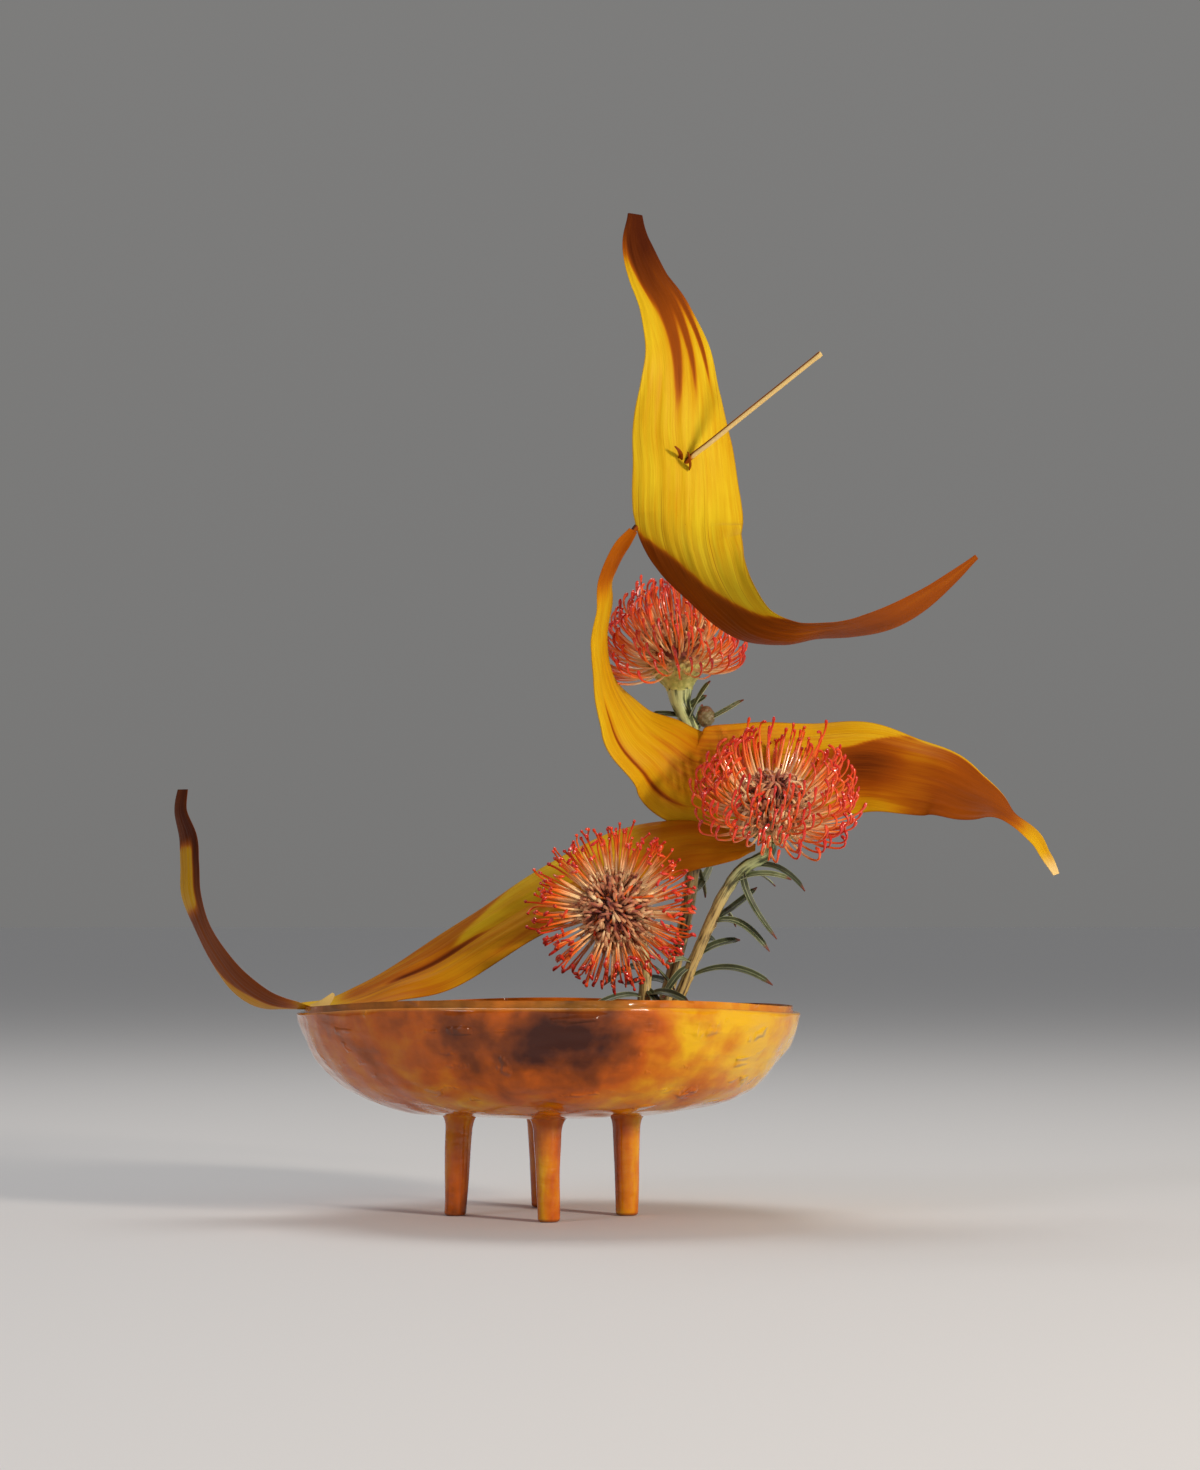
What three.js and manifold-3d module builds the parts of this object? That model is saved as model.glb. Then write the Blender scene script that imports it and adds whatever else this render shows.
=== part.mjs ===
// Ikebana arrangement: three golden strap leaves and three pincushion protea blooms, standing
// on a pin holder in the water of a glazed bowl with four legs.
// Millimetres, +Z up, X to the right and Y to the back. While it is modelled, the middle of the
// bowl is at X = Y = 0 and the feet stand on z = 0. At the end the whole arrangement is shifted
// sideways, so that the middle of its footprint is the origin.
import * as THREE from 'three';
import { mergeVertices } from 'three/addons/utils/BufferGeometryUtils.js';
import Module from 'manifold-3d';

const wasm = await Module();
wasm.setup();

// ---- driving dimensions -------------------------------------------------------------------

const SEAT_GAP = 0.3; // between two pieces that touch
const MERGE = 1e-4; // vertices nearer than this are one

const BOWL_RADIUS = 147; // outer radius at the rim
const BOWL_BOTTOM = 59; // underside, above the ground
const RIM_HEIGHT = 118.6; // mean height of the lip
const LIP = 4.5; // wall thickness at the lip
const WALL = 5; // height of the inside above the outside, lower down
const FLOOR = 68; // flat inner floor
const LIP_CROWN = 1.3; // how far the rounded lip stands above the walls' edges
const LIP_TILT = 2.7; // the hand-formed lip is this much higher in front, lower at the back
const LIP_SADDLE = 1.8; // and this much lower at both sides
const LIP_RIPPLE = 0.5;
const LIP_SWELL = 0.004; // how far it is from a circle, as a share of its radius
const BOWL_SEGMENTS = 48;

const LEG_TOP = 64; // where the legs end, inside the bowl's bottom
const LEG_SIDES = 10;
// each leg: [x, y] at the top, [x, y] at the foot
const LEGS = [
  [[-51, -2], [-54, -3]],
  [[46, -2], [46, -3]],
  [[0, -49], [0.5, -50]],
  [[-5, 57], [-3, 58]],
];
// leg profile: [height, radius]
const LEG_PROFILE = [[0, 6.1], [1.2, 6.6], [30, 7.1], [52, 8], [58, 9.6], [LEG_TOP, 12.5]];

const HOLDER = { x: 54, y: 3, radius: 29, base: 10, pinLength: 15, pinRadius: 0.9, pinPitch: 6.6 };
const HOLDER_MARGIN = 2.5; // bare edge of the plate, outside the pins
const PIN_ROOT = 2; // how deep a pin sits in the plate
const PLATE_SIDES = 32;
const HOLDER_BOTTOM = FLOOR + SEAT_GAP;
const HOLDER_TOP = HOLDER_BOTTOM + HOLDER.base;
const PIN_TOP = HOLDER_TOP + HOLDER.pinLength;

const WATER_LEVEL = 98.5;
const WATER_GAP = 0.6; // sideways, to the sloping wall
const POCKET_GAP = 0.5; // between the water and the pin holder that stands in it
const HOLE_GAP = 0.4; // round a stem in the water, and round the stalk in the upper leaf

const BLADE = 1; // thickness of a strap leaf
const NARROW_BLADE = 1.3; // thickness of a narrow green leaf at its midrib
const NARROW_HALF_WIDTHS = [1.4, 2, 2.2, 1.9, 0.8]; // from its root to its tip

// ---- strap leaves: stations from one end to the other --------------------------------------
// [x, y, z, width, turn, cup]: turn 0 shows the blade's face to the front, 90 shows its edge with
// the inner or upper margin at the back; cup is how far both margins bend to the back.

const UPPER_LEAF = [
  [51, -8, 586, 8, 21, 0],
  [52, -16, 568, 18, 20, 1],
  [59, -24, 548, 28, 33, 2],
  [70, -31, 527, 38, 34, 3],
  [77, -37, 502, 46, 32, 4],
  [79, -42, 478, 54, 23, 5],
  [79, -46, 454, 60, 16, 6],
  [81, -50, 431, 64, 18, 6],
  [81, -54, 407, 64, 4, 7],
  [81, -56, 396, 62, -20, 7],
  [83, -58, 384, 63, -38, 7],
  [90, -61, 366, 64, -56, 6],
  [103, -62, 349, 62, -66, 5],
  [118, -61, 337, 58, -72, 4],
  [138, -58, 333, 52, -76, 3],
  [157, -54, 336, 46, -82, 1.5],
  [177, -50, 339, 40, -78, 1.5],
  [197, -47, 345, 30, -66, 1],
  [216, -45, 356, 20, -56, 0],
  [233, -45, 369, 12, -54, 0],
  [247, -46, 381, 3, -46, 0],
];

const MIDDLE_LEAF = [
  [49, -46, 396, 5, 38, 0],
  [41, -43, 385, 18, 65, 0],
  [35, -36, 369, 32, 74, 1],
  [34, -29, 354, 42, 80, 1],
  [32, -20, 337, 50, 78, 2],
  [33, -13, 323, 54, 76, 3],
  [37, -8, 308, 56, 72, 4],
  [44, -4, 294, 56, 63, 4],
  [53, -1, 280, 57, 49, 4],
  [66, 2, 269, 58, 34, 2],
  [81, 6, 257, 58, 4, 2],
  [101, 9, 254, 66, -2, 2],
  [128, 13, 257, 64, 4, 2],
  [157, 14, 260, 60, 16, 3],
  [187, 10, 262, 56, 14, 4],
  [210, 3, 258, 50, 20, 4],
  [230, -5, 253, 46, 26, 3],
  [244, -11, 246, 40, 36, 2],
  [260, -17, 239, 32, 54, 2],
  [270, -21, 231, 24, 70, 1],
  [284, -25, 219, 18, 55, 1],
  [289, -28, 209, 14, 55, 0],
  [294, -30, 198, 4, 40, 0],
];

const LOWER_LEAF = [
  [-214, 2, 248, 12, 122, 0],
  [-216, 1, 235, 24, 112, -1],
  [-212, 0, 219, 34, 114, -2],
  [-211, -1, 204, 40, 110, -2],
  [-210, -3, 187, 42, 110, -2],
  [-204, -4, 169, 44, 107, -2],
  [-195, -5, 152, 46, 109, -2],
  [-181, -6, 134, 46, 109, -2],
  [-164, -6, 123, 44, 105, -3],
  [-144, -6, 120.1, 42, 91, -4],
  [-127, -6, 121.5, 42, 81, -2],
  [-108, -6, 128, 42, 72, 0],
  [-88, -6, 137, 43, 62, 2],
  [-65, -6, 147, 44, 46, 3],
  [-40, -6, 163, 45, 44, 3],
  [-12, -6, 180, 46, 42, 3],
  [21, -6, 197, 46, 36, 3],
  [53, -7, 210, 44, 32, 2],
  [79, -9, 216, 38, 33, 2],
  [97, -10, 216, 30, 40, 1],
  [112, -10, 215, 19, 44, 1],
  [121, -10, 214, 4, 47, 0],
];

// the middle leaf's stalk, from its blade to its cut end, threaded through the upper leaf
const STALK_RADIUS = 1.7;
const STALK = [
  [48, -45, 395],
  [57, -42, 405],
  [68, -42, 420],
  [80, -50, 436],
  [92, -58, 445],
  [121, -74, 467],
  [154, -92, 492],
];

// ---- protea blooms and their stems ----------------------------------------------------------
// base is where the head sits on its stem, axis is the way it opens, rise and reach are the
// lengths of the two bends of a style.

const BLOOMS = [
  {
    name: 'high',
    base: [78, 27, 309],
    axis: [-0.1, -0.06, 1],
    rise: 19,
    reach: 20,
    stemRadius: [4.3, 4.6, 5.6],
    stem: [[57, 13, 90], [71, 16, 131], [84, 18, 190], [87, 18, 250], [85, 22.4, 283]],
    leaves: [
      [0.9, [4, -4, 13], [12, -8, 26]],
      [0.94, [6, 3, 5], [14, 5, 10]],
      [0.89, [16, -3, 8], [31, -7, 17]],
      [0.92, [-9, 2, 2], [-21, 4, 3]],
      [0.88, [4, 12, 6], [7, 24, 18]],
      [0.55, [4, 9, -6], [8, 17, -20]],
      [0.52, [6, 3, 10], [16, 9, 26]],
      [0.47, [8, 10, 8], [14, 25, 20]],
      [0.3, [-6, 12, 6], [-14, 26, 12]],
      [0.24, [-10, 10, 4], [-26, 22, 0]],
    ],
    bud: { at: 0.9, offset: [9.5, -3, 5], radius: 5.2, length: 13 },
  },
  {
    name: 'middle',
    base: [129, -16, 219],
    axis: [0.05, -0.6, 0.8],
    rise: 22,
    reach: 25,
    stemRadius: [3.8, 3.8, 4.2],
    stem: [[61, 1, 90], [76, -1, 125], [90, -3, 159], [103, -6, 187], [113, -8, 201]],
    leaves: [
      [0.82, [20, 4, 2], [38, 8, -12]],
      [0.74, [17, -4, 8], [37, -6, 5]],
      [0.6, [15, 5, 10], [28, 8, 21]],
      [0.84, [2, -5, -18], [18, -9, -42]],
      [0.59, [17, -3, 2], [35, -8, -15]],
      [0.46, [12, 3, 8], [27, 6, 11]],
      [0.38, [25, -4, 7], [50, -10, -3]],
      [0.44, [-8, -5, 3], [-16, -12, 0]],
      [0.43, [-8, -4, -5], [-17, -8, -18]],
      [0.28, [7, -5, -3], [15, -11, -14]],
      [0.64, [6, 16, 2], [14, 34, -8]],
      [0.5, [6, 16, 6], [12, 32, 2]],
      [0.78, [12, 14, 4], [26, 28, -4]],
    ],
  },
  {
    name: 'low',
    base: [40, -21, 176],
    axis: [-0.07, -1, 0.06],
    rise: 21,
    reach: 22,
    stemRadius: [4, 4, 4.6],
    stem: [[50, -6, 90], [56, -8, 125], [56, -9, 150], [49, -9, 168]],
    leaves: [
      [0.42, [11, -10, 4], [26, -20, -2]],
      [0.48, [7, -8, -8], [14, -14, -22]],
      [0.56, [-10, 8, 2], [-24, 14, -8]],
      [0.42, [-12, -4, 2], [-30, -10, -4]],
      [0.6, [8, 9, -4], [18, 14, -16]],
    ],
  },
];

const NECK_LENGTH = 10; // the straight stretch of stem below a head
const STYLES = 44; // styles on each head
const STYLE_BENDS = [0.22, 0.75]; // radians, outwards at its middle and inwards at its tip
const STYLE_RADII = [0.95, 0.95, 0.95, 1.6, 0.6]; // from its root to the knob at its tip
const CROWDING = 1.5; // how much closer together a style's rings are at its tip
const CLAWS = 20; // short curled claws among the styles
const CLAW_BENDS = [0.1, -0.5];
const CLAW_RADII = [2.2, 1.7, 0.8];
const CLAW_LENGTHS = [8, 7];
// half outline of a head's core: [radius, height above its base]
const CORE = [[0, 0], [5.4, 0], [9.5, 4], [15.5, 10], [17.5, 17], [15, 25], [8.5, 31], [0, 33]];
const ROOT_RADIUS = 12.5; // the styles start on a sphere of this radius inside the core
const ROOT_HEIGHT = 17;
const GOLDEN_ANGLE = Math.PI * (3 - Math.sqrt(5));

// ---- solids -----------------------------------------------------------------------------------

/** A closed geometry as a solid: position only, vertices merged, faces turned outwards. */
function solid(geometry) {
  const bare = geometry.index ? geometry.toNonIndexed() : geometry.clone();
  bare.deleteAttribute('normal');
  bare.deleteAttribute('uv');
  const merged = mergeVertices(bare, MERGE);
  const index = merged.index.array;
  const corners = [];
  for (let i = 0; i < index.length; i += 3) {
    const [a, b, c] = [index[i], index[i + 1], index[i + 2]];
    if (a !== b && b !== c && c !== a) corners.push(a, b, c);
  }
  const vertProperties = new Float32Array(merged.attributes.position.array);
  const make = (triVerts) =>
    new wasm.Manifold(new wasm.Mesh({ numProp: 3, vertProperties, triVerts }));
  const made = make(new Uint32Array(corners));
  if (made.volume() > 0) return made;
  return make(new Uint32Array(corners.reverse()));
}

/** Joins a list of solids into one. */
function fuse(solids) {
  return solids.reduce((whole, piece) => whole.add(piece));
}

/** A named mesh from a solid. */
function node(name, shape, colour, roughness, metalness = 0) {
  const { vertProperties, triVerts } = shape.getMesh();
  const geometry = new THREE.BufferGeometry();
  geometry.setAttribute('position', new THREE.BufferAttribute(vertProperties, 3));
  geometry.setIndex(new THREE.BufferAttribute(triVerts, 1));
  geometry.computeVertexNormals();
  const material = new THREE.MeshStandardMaterial({ color: colour, roughness, metalness });
  const mesh = new THREE.Mesh(geometry, material);
  mesh.name = name;
  return mesh;
}

const point = (p) => new THREE.Vector3(...p);
const curveThrough = (points) => new THREE.CatmullRomCurve3(points.map(point));

/** Reads a list of numbers at t from 0 to 1, evenly spaced along it. */
function between(values, t) {
  const place = t * (values.length - 1);
  const i = Math.min(Math.floor(place), values.length - 2);
  return THREE.MathUtils.lerp(values[i], values[i + 1], place - i);
}

/**
 * A closed tube along a curve: a cylinder whose rings are moved onto the curve. side is a
 * direction that the curve never runs along; sizeAt(t) gives the half sizes across and along it.
 * A crowding above 1 brings the rings closer together towards the curve's end.
 */
function sweep(curve, side, sides, steps, sizeAt, crowding = 1) {
  const shape = new THREE.CylinderGeometry(1, 1, 1, sides, steps);
  const place = shape.attributes.position;
  for (let i = 0; i < place.count; i += 1) {
    const left = THREE.MathUtils.clamp(0.5 - place.getY(i), 0, 1);
    const t = 1 - left ** crowding;
    const tangent = curve.getTangentAt(t);
    const across = side.clone().cross(tangent).normalize();
    const along = across.clone().cross(tangent).normalize();
    const [wide, thick] = sizeAt(t);
    const moved = curve.getPointAt(t);
    moved.addScaledVector(across, place.getX(i) * wide);
    moved.addScaledVector(along, place.getZ(i) * thick);
    place.setXYZ(i, ...moved);
  }
  return solid(shape);
}

/** A round tube whose radius is read from a list. */
function roundTube(points, side, sides, steps, radii, extra = 0) {
  return sweep(curveThrough(points), point(side), sides, steps, (t) => {
    const radius = between(radii, t) + extra;
    return [radius, radius];
  });
}

/** A shape turned round the Z axis from a half outline of [radius, height]. */
function turned(outline, segments) {
  const profile = outline.map(([radius, height]) => new THREE.Vector2(radius, height));
  return new THREE.LatheGeometry(profile, segments).rotateX(Math.PI / 2);
}

// ---- bowl ---------------------------------------------------------------------------------------

/** Height of the bowl's outside at a radius: flat in the middle and steep at the rim. */
function outsideHeight(radius) {
  const fullness = 1 - (radius / BOWL_RADIUS) ** 5;
  return RIM_HEIGHT - (RIM_HEIGHT - BOWL_BOTTOM) * Math.max(fullness, 0) ** (1 / 1.4);
}

/** Height of the bowl's inside at a radius: a flat floor, then the wall. */
function insideHeight(radius) {
  const inner = BOWL_RADIUS - LIP;
  return Math.max(FLOOR, outsideHeight((radius * BOWL_RADIUS) / inner) + WALL);
}

/** Radii from the middle to the given edge, closer together where the wall is steep. */
function wallRadii(edge, degrees) {
  return degrees.map((angle) => edge * Math.sin(THREE.MathUtils.degToRad(angle)) ** 0.4);
}

/** Makes a turned shape uneven, as a bowl formed by hand: the rim rises and falls. */
function handFormed(geometry) {
  const place = geometry.attributes.position;
  for (let i = 0; i < place.count; i += 1) {
    const [x, y, z] = [place.getX(i), place.getY(i), place.getZ(i)];
    const angle = Math.atan2(y, x);
    const lift = Math.max(0, (z - FLOOR) / (RIM_HEIGHT - FLOOR));
    const broad = -LIP_TILT * Math.sin(angle) - LIP_SADDLE * Math.cos(2 * angle);
    const rise = broad + LIP_RIPPLE * Math.sin(5 * angle);
    const swell = 1 + LIP_SWELL * Math.sin(3 * angle + 1);
    place.setXYZ(i, x * swell, y * swell, z + rise * lift);
  }
  return geometry;
}

function bowl() {
  const inner = BOWL_RADIUS - LIP;
  const outside = wallRadii(BOWL_RADIUS, [0, 4, 12, 20, 30, 42, 54, 66, 78, 90]);
  const inside = wallRadii(inner, [84, 74, 62, 50, 38, 28, 20, 15, 10, 0]);
  const outline = [
    ...outside.map((radius) => [radius, outsideHeight(radius)]),
    [BOWL_RADIUS - 0.8, RIM_HEIGHT + LIP_CROWN],
    [inner + 1, RIM_HEIGHT + LIP_CROWN],
    [inner, RIM_HEIGHT],
    ...inside.map((radius) => [radius, insideHeight(radius)]),
  ];
  const shell = solid(handFormed(turned(outline, BOWL_SEGMENTS)));
  return fuse([shell, ...LEGS.map(leg)]);
}

/** One leg: round, tapered to the foot and flared where it grows out of the bowl. */
function leg([top, foot]) {
  const outline = [[0, 0], ...LEG_PROFILE.map(([height, radius]) => [radius, height])];
  const shape = turned([...outline, [0, LEG_TOP]], LEG_SIDES);
  const place = shape.attributes.position;
  for (let i = 0; i < place.count; i += 1) {
    const t = place.getZ(i) / LEG_TOP;
    const x = place.getX(i) + THREE.MathUtils.lerp(foot[0], top[0], t);
    const y = place.getY(i) + THREE.MathUtils.lerp(foot[1], top[1], t);
    place.setX(i, x);
    place.setY(i, y);
  }
  return solid(shape);
}

// ---- stems ----------------------------------------------------------------------------------------

/** The points of a bloom's stem: up from the pin holder, then straight into the head's base. */
function stemPoints(bloom) {
  const base = point(bloom.base);
  const axis = point(bloom.axis).normalize();
  const [x, y] = bloom.stem[0];
  const foot = [x - 1, y, HOLDER_TOP + 2 * SEAT_GAP];
  const neck = base.clone().addScaledVector(axis, -NECK_LENGTH);
  const top = base.clone().addScaledVector(axis, -SEAT_GAP);
  return [foot, ...bloom.stem, [...neck], [...top]];
}

/** A bloom's bare stem, or with extra the plain hole that it stands in. */
const stemTube = (bloom, extra = 0) =>
  roundTube(stemPoints(bloom), [1, 0, 0], 8, 12, bloom.stemRadius, extra);

/** A narrow green leaf, from a root inside the stem, through the middle, to its tip. */
function narrowLeaf(root, [middle, tip]) {
  const bend = root.clone().add(point(middle));
  const end = root.clone().add(point(tip));
  const control = bend.clone().multiplyScalar(2).sub(root.clone().add(end).multiplyScalar(0.5));
  const curve = new THREE.QuadraticBezierCurve3(root, control, end);
  const upright = Math.abs(tip[2]) > Math.hypot(tip[0], tip[1]);
  const side = upright ? new THREE.Vector3(-tip[1], tip[0], 0) : new THREE.Vector3(0, 0, 1);
  return sweep(curve, side, 4, 4, (t) => {
    const wide = between(NARROW_HALF_WIDTHS, t);
    const thick = NARROW_BLADE / 2;
    return upright ? [thick, wide] : [wide, thick];
  });
}

/** The small side bud: an egg on the stem's side. */
function sideBud(curve, { at, offset, radius, length }) {
  const shape = new THREE.SphereGeometry(1, 8, 6).rotateX(Math.PI / 2);
  shape.scale(radius, radius, length / 2);
  const centre = curve.getPointAt(at).add(point(offset));
  return solid(shape.translate(...centre));
}

function leafyStem(bloom) {
  const curve = curveThrough(stemPoints(bloom));
  const leaves = bloom.leaves.map(([at, ...shape]) => narrowLeaf(curve.getPointAt(at), shape));
  const buds = bloom.bud ? [sideBud(curve, bloom.bud)] : [];
  return fuse([stemTube(bloom), ...leaves, ...buds]);
}

// ---- blooms, modelled upright with the base at the origin -----------------------------------------

/** A direction at an angle from the head's axis, in the plane at the given azimuth. */
function direction(angle, azimuth) {
  const out = Math.sin(angle);
  return new THREE.Vector3(out * Math.cos(azimuth), out * Math.sin(azimuth), Math.cos(angle));
}

/** Angles from the axis for count pieces, spread evenly over a dome. */
function domeAngle(index, count) {
  const [inner, outer] = [Math.cos(0.12), Math.cos(1.62)];
  return Math.acos(THREE.MathUtils.lerp(inner, outer, (index + 0.5) / count));
}

/** A taper that leaves the core at an angle and bends back towards the axis. */
function curl(angle, azimuth, lengths, bends, radii) {
  const root = direction(angle, azimuth).multiplyScalar(ROOT_RADIUS);
  root.z += ROOT_HEIGHT;
  const middle = root.clone().addScaledVector(direction(angle + bends[0], azimuth), lengths[0]);
  const end = middle.clone().addScaledVector(direction(angle - bends[1], azimuth), lengths[1]);
  const curve = new THREE.QuadraticBezierCurve3(root, middle, end);
  const side = new THREE.Vector3(-Math.sin(azimuth), Math.cos(azimuth), 0);
  const steps = radii.length - 1;
  const sizeAt = (t) => {
    const radius = between(radii, 1 - (1 - t) ** (1 / CROWDING));
    return [radius, radius];
  };
  return sweep(curve, side, 3, steps, sizeAt, CROWDING);
}

function style(index, bloom) {
  const angle = domeAngle(index, STYLES);
  const lengths = [bloom.rise, bloom.reach];
  const bends = STYLE_BENDS.map((bend) => bend * Math.sin(angle));
  return curl(angle, index * GOLDEN_ANGLE, lengths, bends, STYLE_RADII);
}

function claw(index) {
  const angle = domeAngle(index, CLAWS);
  const azimuth = (index + 0.5) * GOLDEN_ANGLE + 2;
  return curl(angle, azimuth, CLAW_LENGTHS, CLAW_BENDS, CLAW_RADII);
}

function head(bloom) {
  const core = solid(turned(CORE, 10));
  const styles = Array.from({ length: STYLES }, (_, index) => style(index, bloom));
  const claws = Array.from({ length: CLAWS }, (_, index) => claw(index));
  return fuse([core, ...styles, ...claws]);
}

/** Turns and moves an upright head onto its stem. */
function placeHead(mesh, bloom) {
  const up = new THREE.Vector3(0, 0, 1);
  mesh.quaternion.setFromUnitVectors(up, point(bloom.axis).normalize());
  mesh.position.set(...bloom.base);
  return mesh;
}

// ---- strap leaves ---------------------------------------------------------------------------------

/** A blade's sheet: u runs across it from 0 to 1, v along it from 0 to 1, depth through it. */
function bladeSheet(stations) {
  const spine = curveThrough(stations.map((station) => station.slice(0, 3)));
  const form = curveThrough(stations.map((station) => station.slice(3)));
  return (u, v, depth) => {
    const { x: width, y: turn, z: cup } = form.getPoint(v);
    const tangent = spine.getTangent(v);
    const inward = new THREE.Vector3(-tangent.z, 0, tangent.x).normalize();
    const back = inward.clone().cross(tangent);
    const angle = THREE.MathUtils.degToRad(turn);
    const across = inward.multiplyScalar(Math.cos(angle)).addScaledVector(back, Math.sin(angle));
    const facing = tangent.clone().cross(across);
    const offset = 2 * u - 1;
    return spine
      .getPoint(v)
      .addScaledVector(across, (offset * width) / 2)
      .addScaledVector(facing, depth - cup * offset * offset);
  };
}

/** A strap leaf: two alike sheets, one blade thickness apart, closed along their margins. */
function strapLeaf(stations, columns, rows) {
  const sheet = bladeSheet(stations);
  const corner = (i, j, depth) => sheet(i / columns, j / rows, depth);
  const half = BLADE / 2;
  const triangles = [];
  const quad = (a, b, c, d) => triangles.push(a, b, c, a, c, d);
  for (let j = 0; j < rows; j += 1) {
    for (let i = 0; i < columns; i += 1) {
      const ring = [[i, j], [i + 1, j], [i + 1, j + 1], [i, j + 1]];
      const front = ring.map(([p, q]) => corner(p, q, half));
      const back = ring.map(([p, q]) => corner(p, q, -half));
      quad(...front);
      triangles.push(back[0], back[2], back[1], back[0], back[3], back[2]);
      if (j === 0) quad(front[1], front[0], back[0], back[1]);
      if (j === rows - 1) quad(front[3], front[2], back[2], back[3]);
      if (i === 0) quad(front[0], front[3], back[3], back[0]);
      if (i === columns - 1) quad(front[2], front[1], back[1], back[2]);
    }
  }
  return solid(new THREE.BufferGeometry().setFromPoints(triangles));
}

/** The middle leaf's stalk, or with extra the slit that it passes through. */
const stalkTube = (extra = 0) =>
  roundTube(STALK, [0, 1, 0], 8, 14, [STALK_RADIUS, STALK_RADIUS], extra);

function upperLeaf() {
  return strapLeaf(UPPER_LEAF, 4, 36).subtract(stalkTube(HOLE_GAP));
}

function middleLeaf() {
  return strapLeaf(MIDDLE_LEAF, 4, 40).add(stalkTube());
}

// ---- pin holder and water ---------------------------------------------------------------------------

/** True where a pin stands clear of every stem. */
function clearOfStems(x, y) {
  const reach = HOLDER.pinRadius + 2 * SEAT_GAP;
  return BLOOMS.every((bloom) => {
    const curve = curveThrough(stemPoints(bloom));
    const radius = bloom.stemRadius[0] + reach;
    const lowest = curve.getSpacedPoints(60).filter((p) => p.z < PIN_TOP + 2);
    return lowest.every((p) => Math.hypot(p.x - x, p.y - y) > radius);
  });
}

function pin(x, y) {
  const height = HOLDER.pinLength + PIN_ROOT;
  const shape = new THREE.ConeGeometry(HOLDER.pinRadius, height, 3).rotateX(Math.PI / 2);
  return solid(shape.translate(x, y, PIN_TOP - height / 2));
}

function pinHolder() {
  const { x, y, radius, base, pinPitch } = HOLDER;
  const plate = new THREE.CylinderGeometry(radius, radius, base, PLATE_SIDES).rotateX(Math.PI / 2);
  const pieces = [solid(plate.translate(x, y, HOLDER_BOTTOM + base / 2))];
  const rowPitch = (pinPitch * Math.sqrt(3)) / 2;
  const reach = Math.floor(radius / rowPitch);
  for (let row = -reach; row <= reach; row += 1) {
    for (let column = -reach; column <= reach; column += 1) {
      const dx = (column + (row % 2 ? 0.5 : 0)) * pinPitch;
      const dy = row * rowPitch;
      const inside = Math.hypot(dx, dy) < radius - HOLDER_MARGIN;
      if (inside && clearOfStems(x + dx, y + dy)) pieces.push(pin(x + dx, y + dy));
    }
  }
  return fuse(pieces);
}

/** An upright round block, used to cut with. */
function roundBlock(x, y, radius, bottom, top, segments) {
  const height = top - bottom;
  const shape = new THREE.CylinderGeometry(radius, radius, height, segments);
  return solid(shape.rotateX(Math.PI / 2).translate(x, y, bottom + height / 2));
}

/** The water: the bowl's inside up to its level, with a pocket for the pin holder. */
function water() {
  const radii = wallRadii(BOWL_RADIUS - LIP, [0, 10, 15, 20, 28, 38, 50, 62, 74, 84]);
  const outline = radii.map((radius) => [
    Math.max(radius - WATER_GAP, 0),
    insideHeight(radius) + SEAT_GAP,
  ]);
  outline.push([0, outline.at(-1)[1]]);
  const whole = solid(handFormed(turned(outline, BOWL_SEGMENTS)));
  const { x, y, radius } = HOLDER;
  const level = roundBlock(0, 0, 2 * BOWL_RADIUS, 0, WATER_LEVEL, 8);
  const pocket = roundBlock(x, y, radius + POCKET_GAP, 0, PIN_TOP + POCKET_GAP, PLATE_SIDES);
  const holes = BLOOMS.map((bloom) => stemTube(bloom, HOLE_GAP));
  return [pocket, ...holes].reduce((left, tool) => left.subtract(tool), whole.intersect(level));
}

// ---- the arrangement ------------------------------------------------------------------------------

const arrangement = new THREE.Group();
arrangement.add(
  node('bowl', bowl(), 0xc8700f, 0.15),
  node('pin_holder', pinHolder(), 0x6d6a63, 0.45, 0.8),
  node('water', water(), 0xbfd4d8, 0.05),
  node('leaf_upper', upperLeaf(), 0xe0a010, 0.5),
  node('leaf_middle', middleLeaf(), 0xd8930f, 0.5),
  node('leaf_lower', strapLeaf(LOWER_LEAF, 4, 40), 0xc07a14, 0.55),
);
for (const bloom of BLOOMS) {
  arrangement.add(node(`stem_${bloom.name}`, leafyStem(bloom), 0x6f7a45, 0.6));
  arrangement.add(placeHead(node(`bloom_${bloom.name}`, head(bloom), 0xd8482c, 0.45), bloom));
}

const box = new THREE.Box3().setFromObject(arrangement, true);
arrangement.position.set(-(box.min.x + box.max.x) / 2, -(box.min.y + box.max.y) / 2, -box.min.z);

export default arrangement;
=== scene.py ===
# %% [markdown]
# # An ikebana arrangement in a footed bowl
# Three golden strap leaves sweep over three pincushion proteas, on a pin holder in the water of a
# hand-formed glazed bowl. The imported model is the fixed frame: it says where each piece is and how
# big it may be. This lesson dresses that frame. Each piece is worked out as a surface in numpy, in
# millimetres from the middle of the bowl, and only the last step of a piece turns it into a mesh in
# metres. So every number below can be read as a real size.

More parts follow.
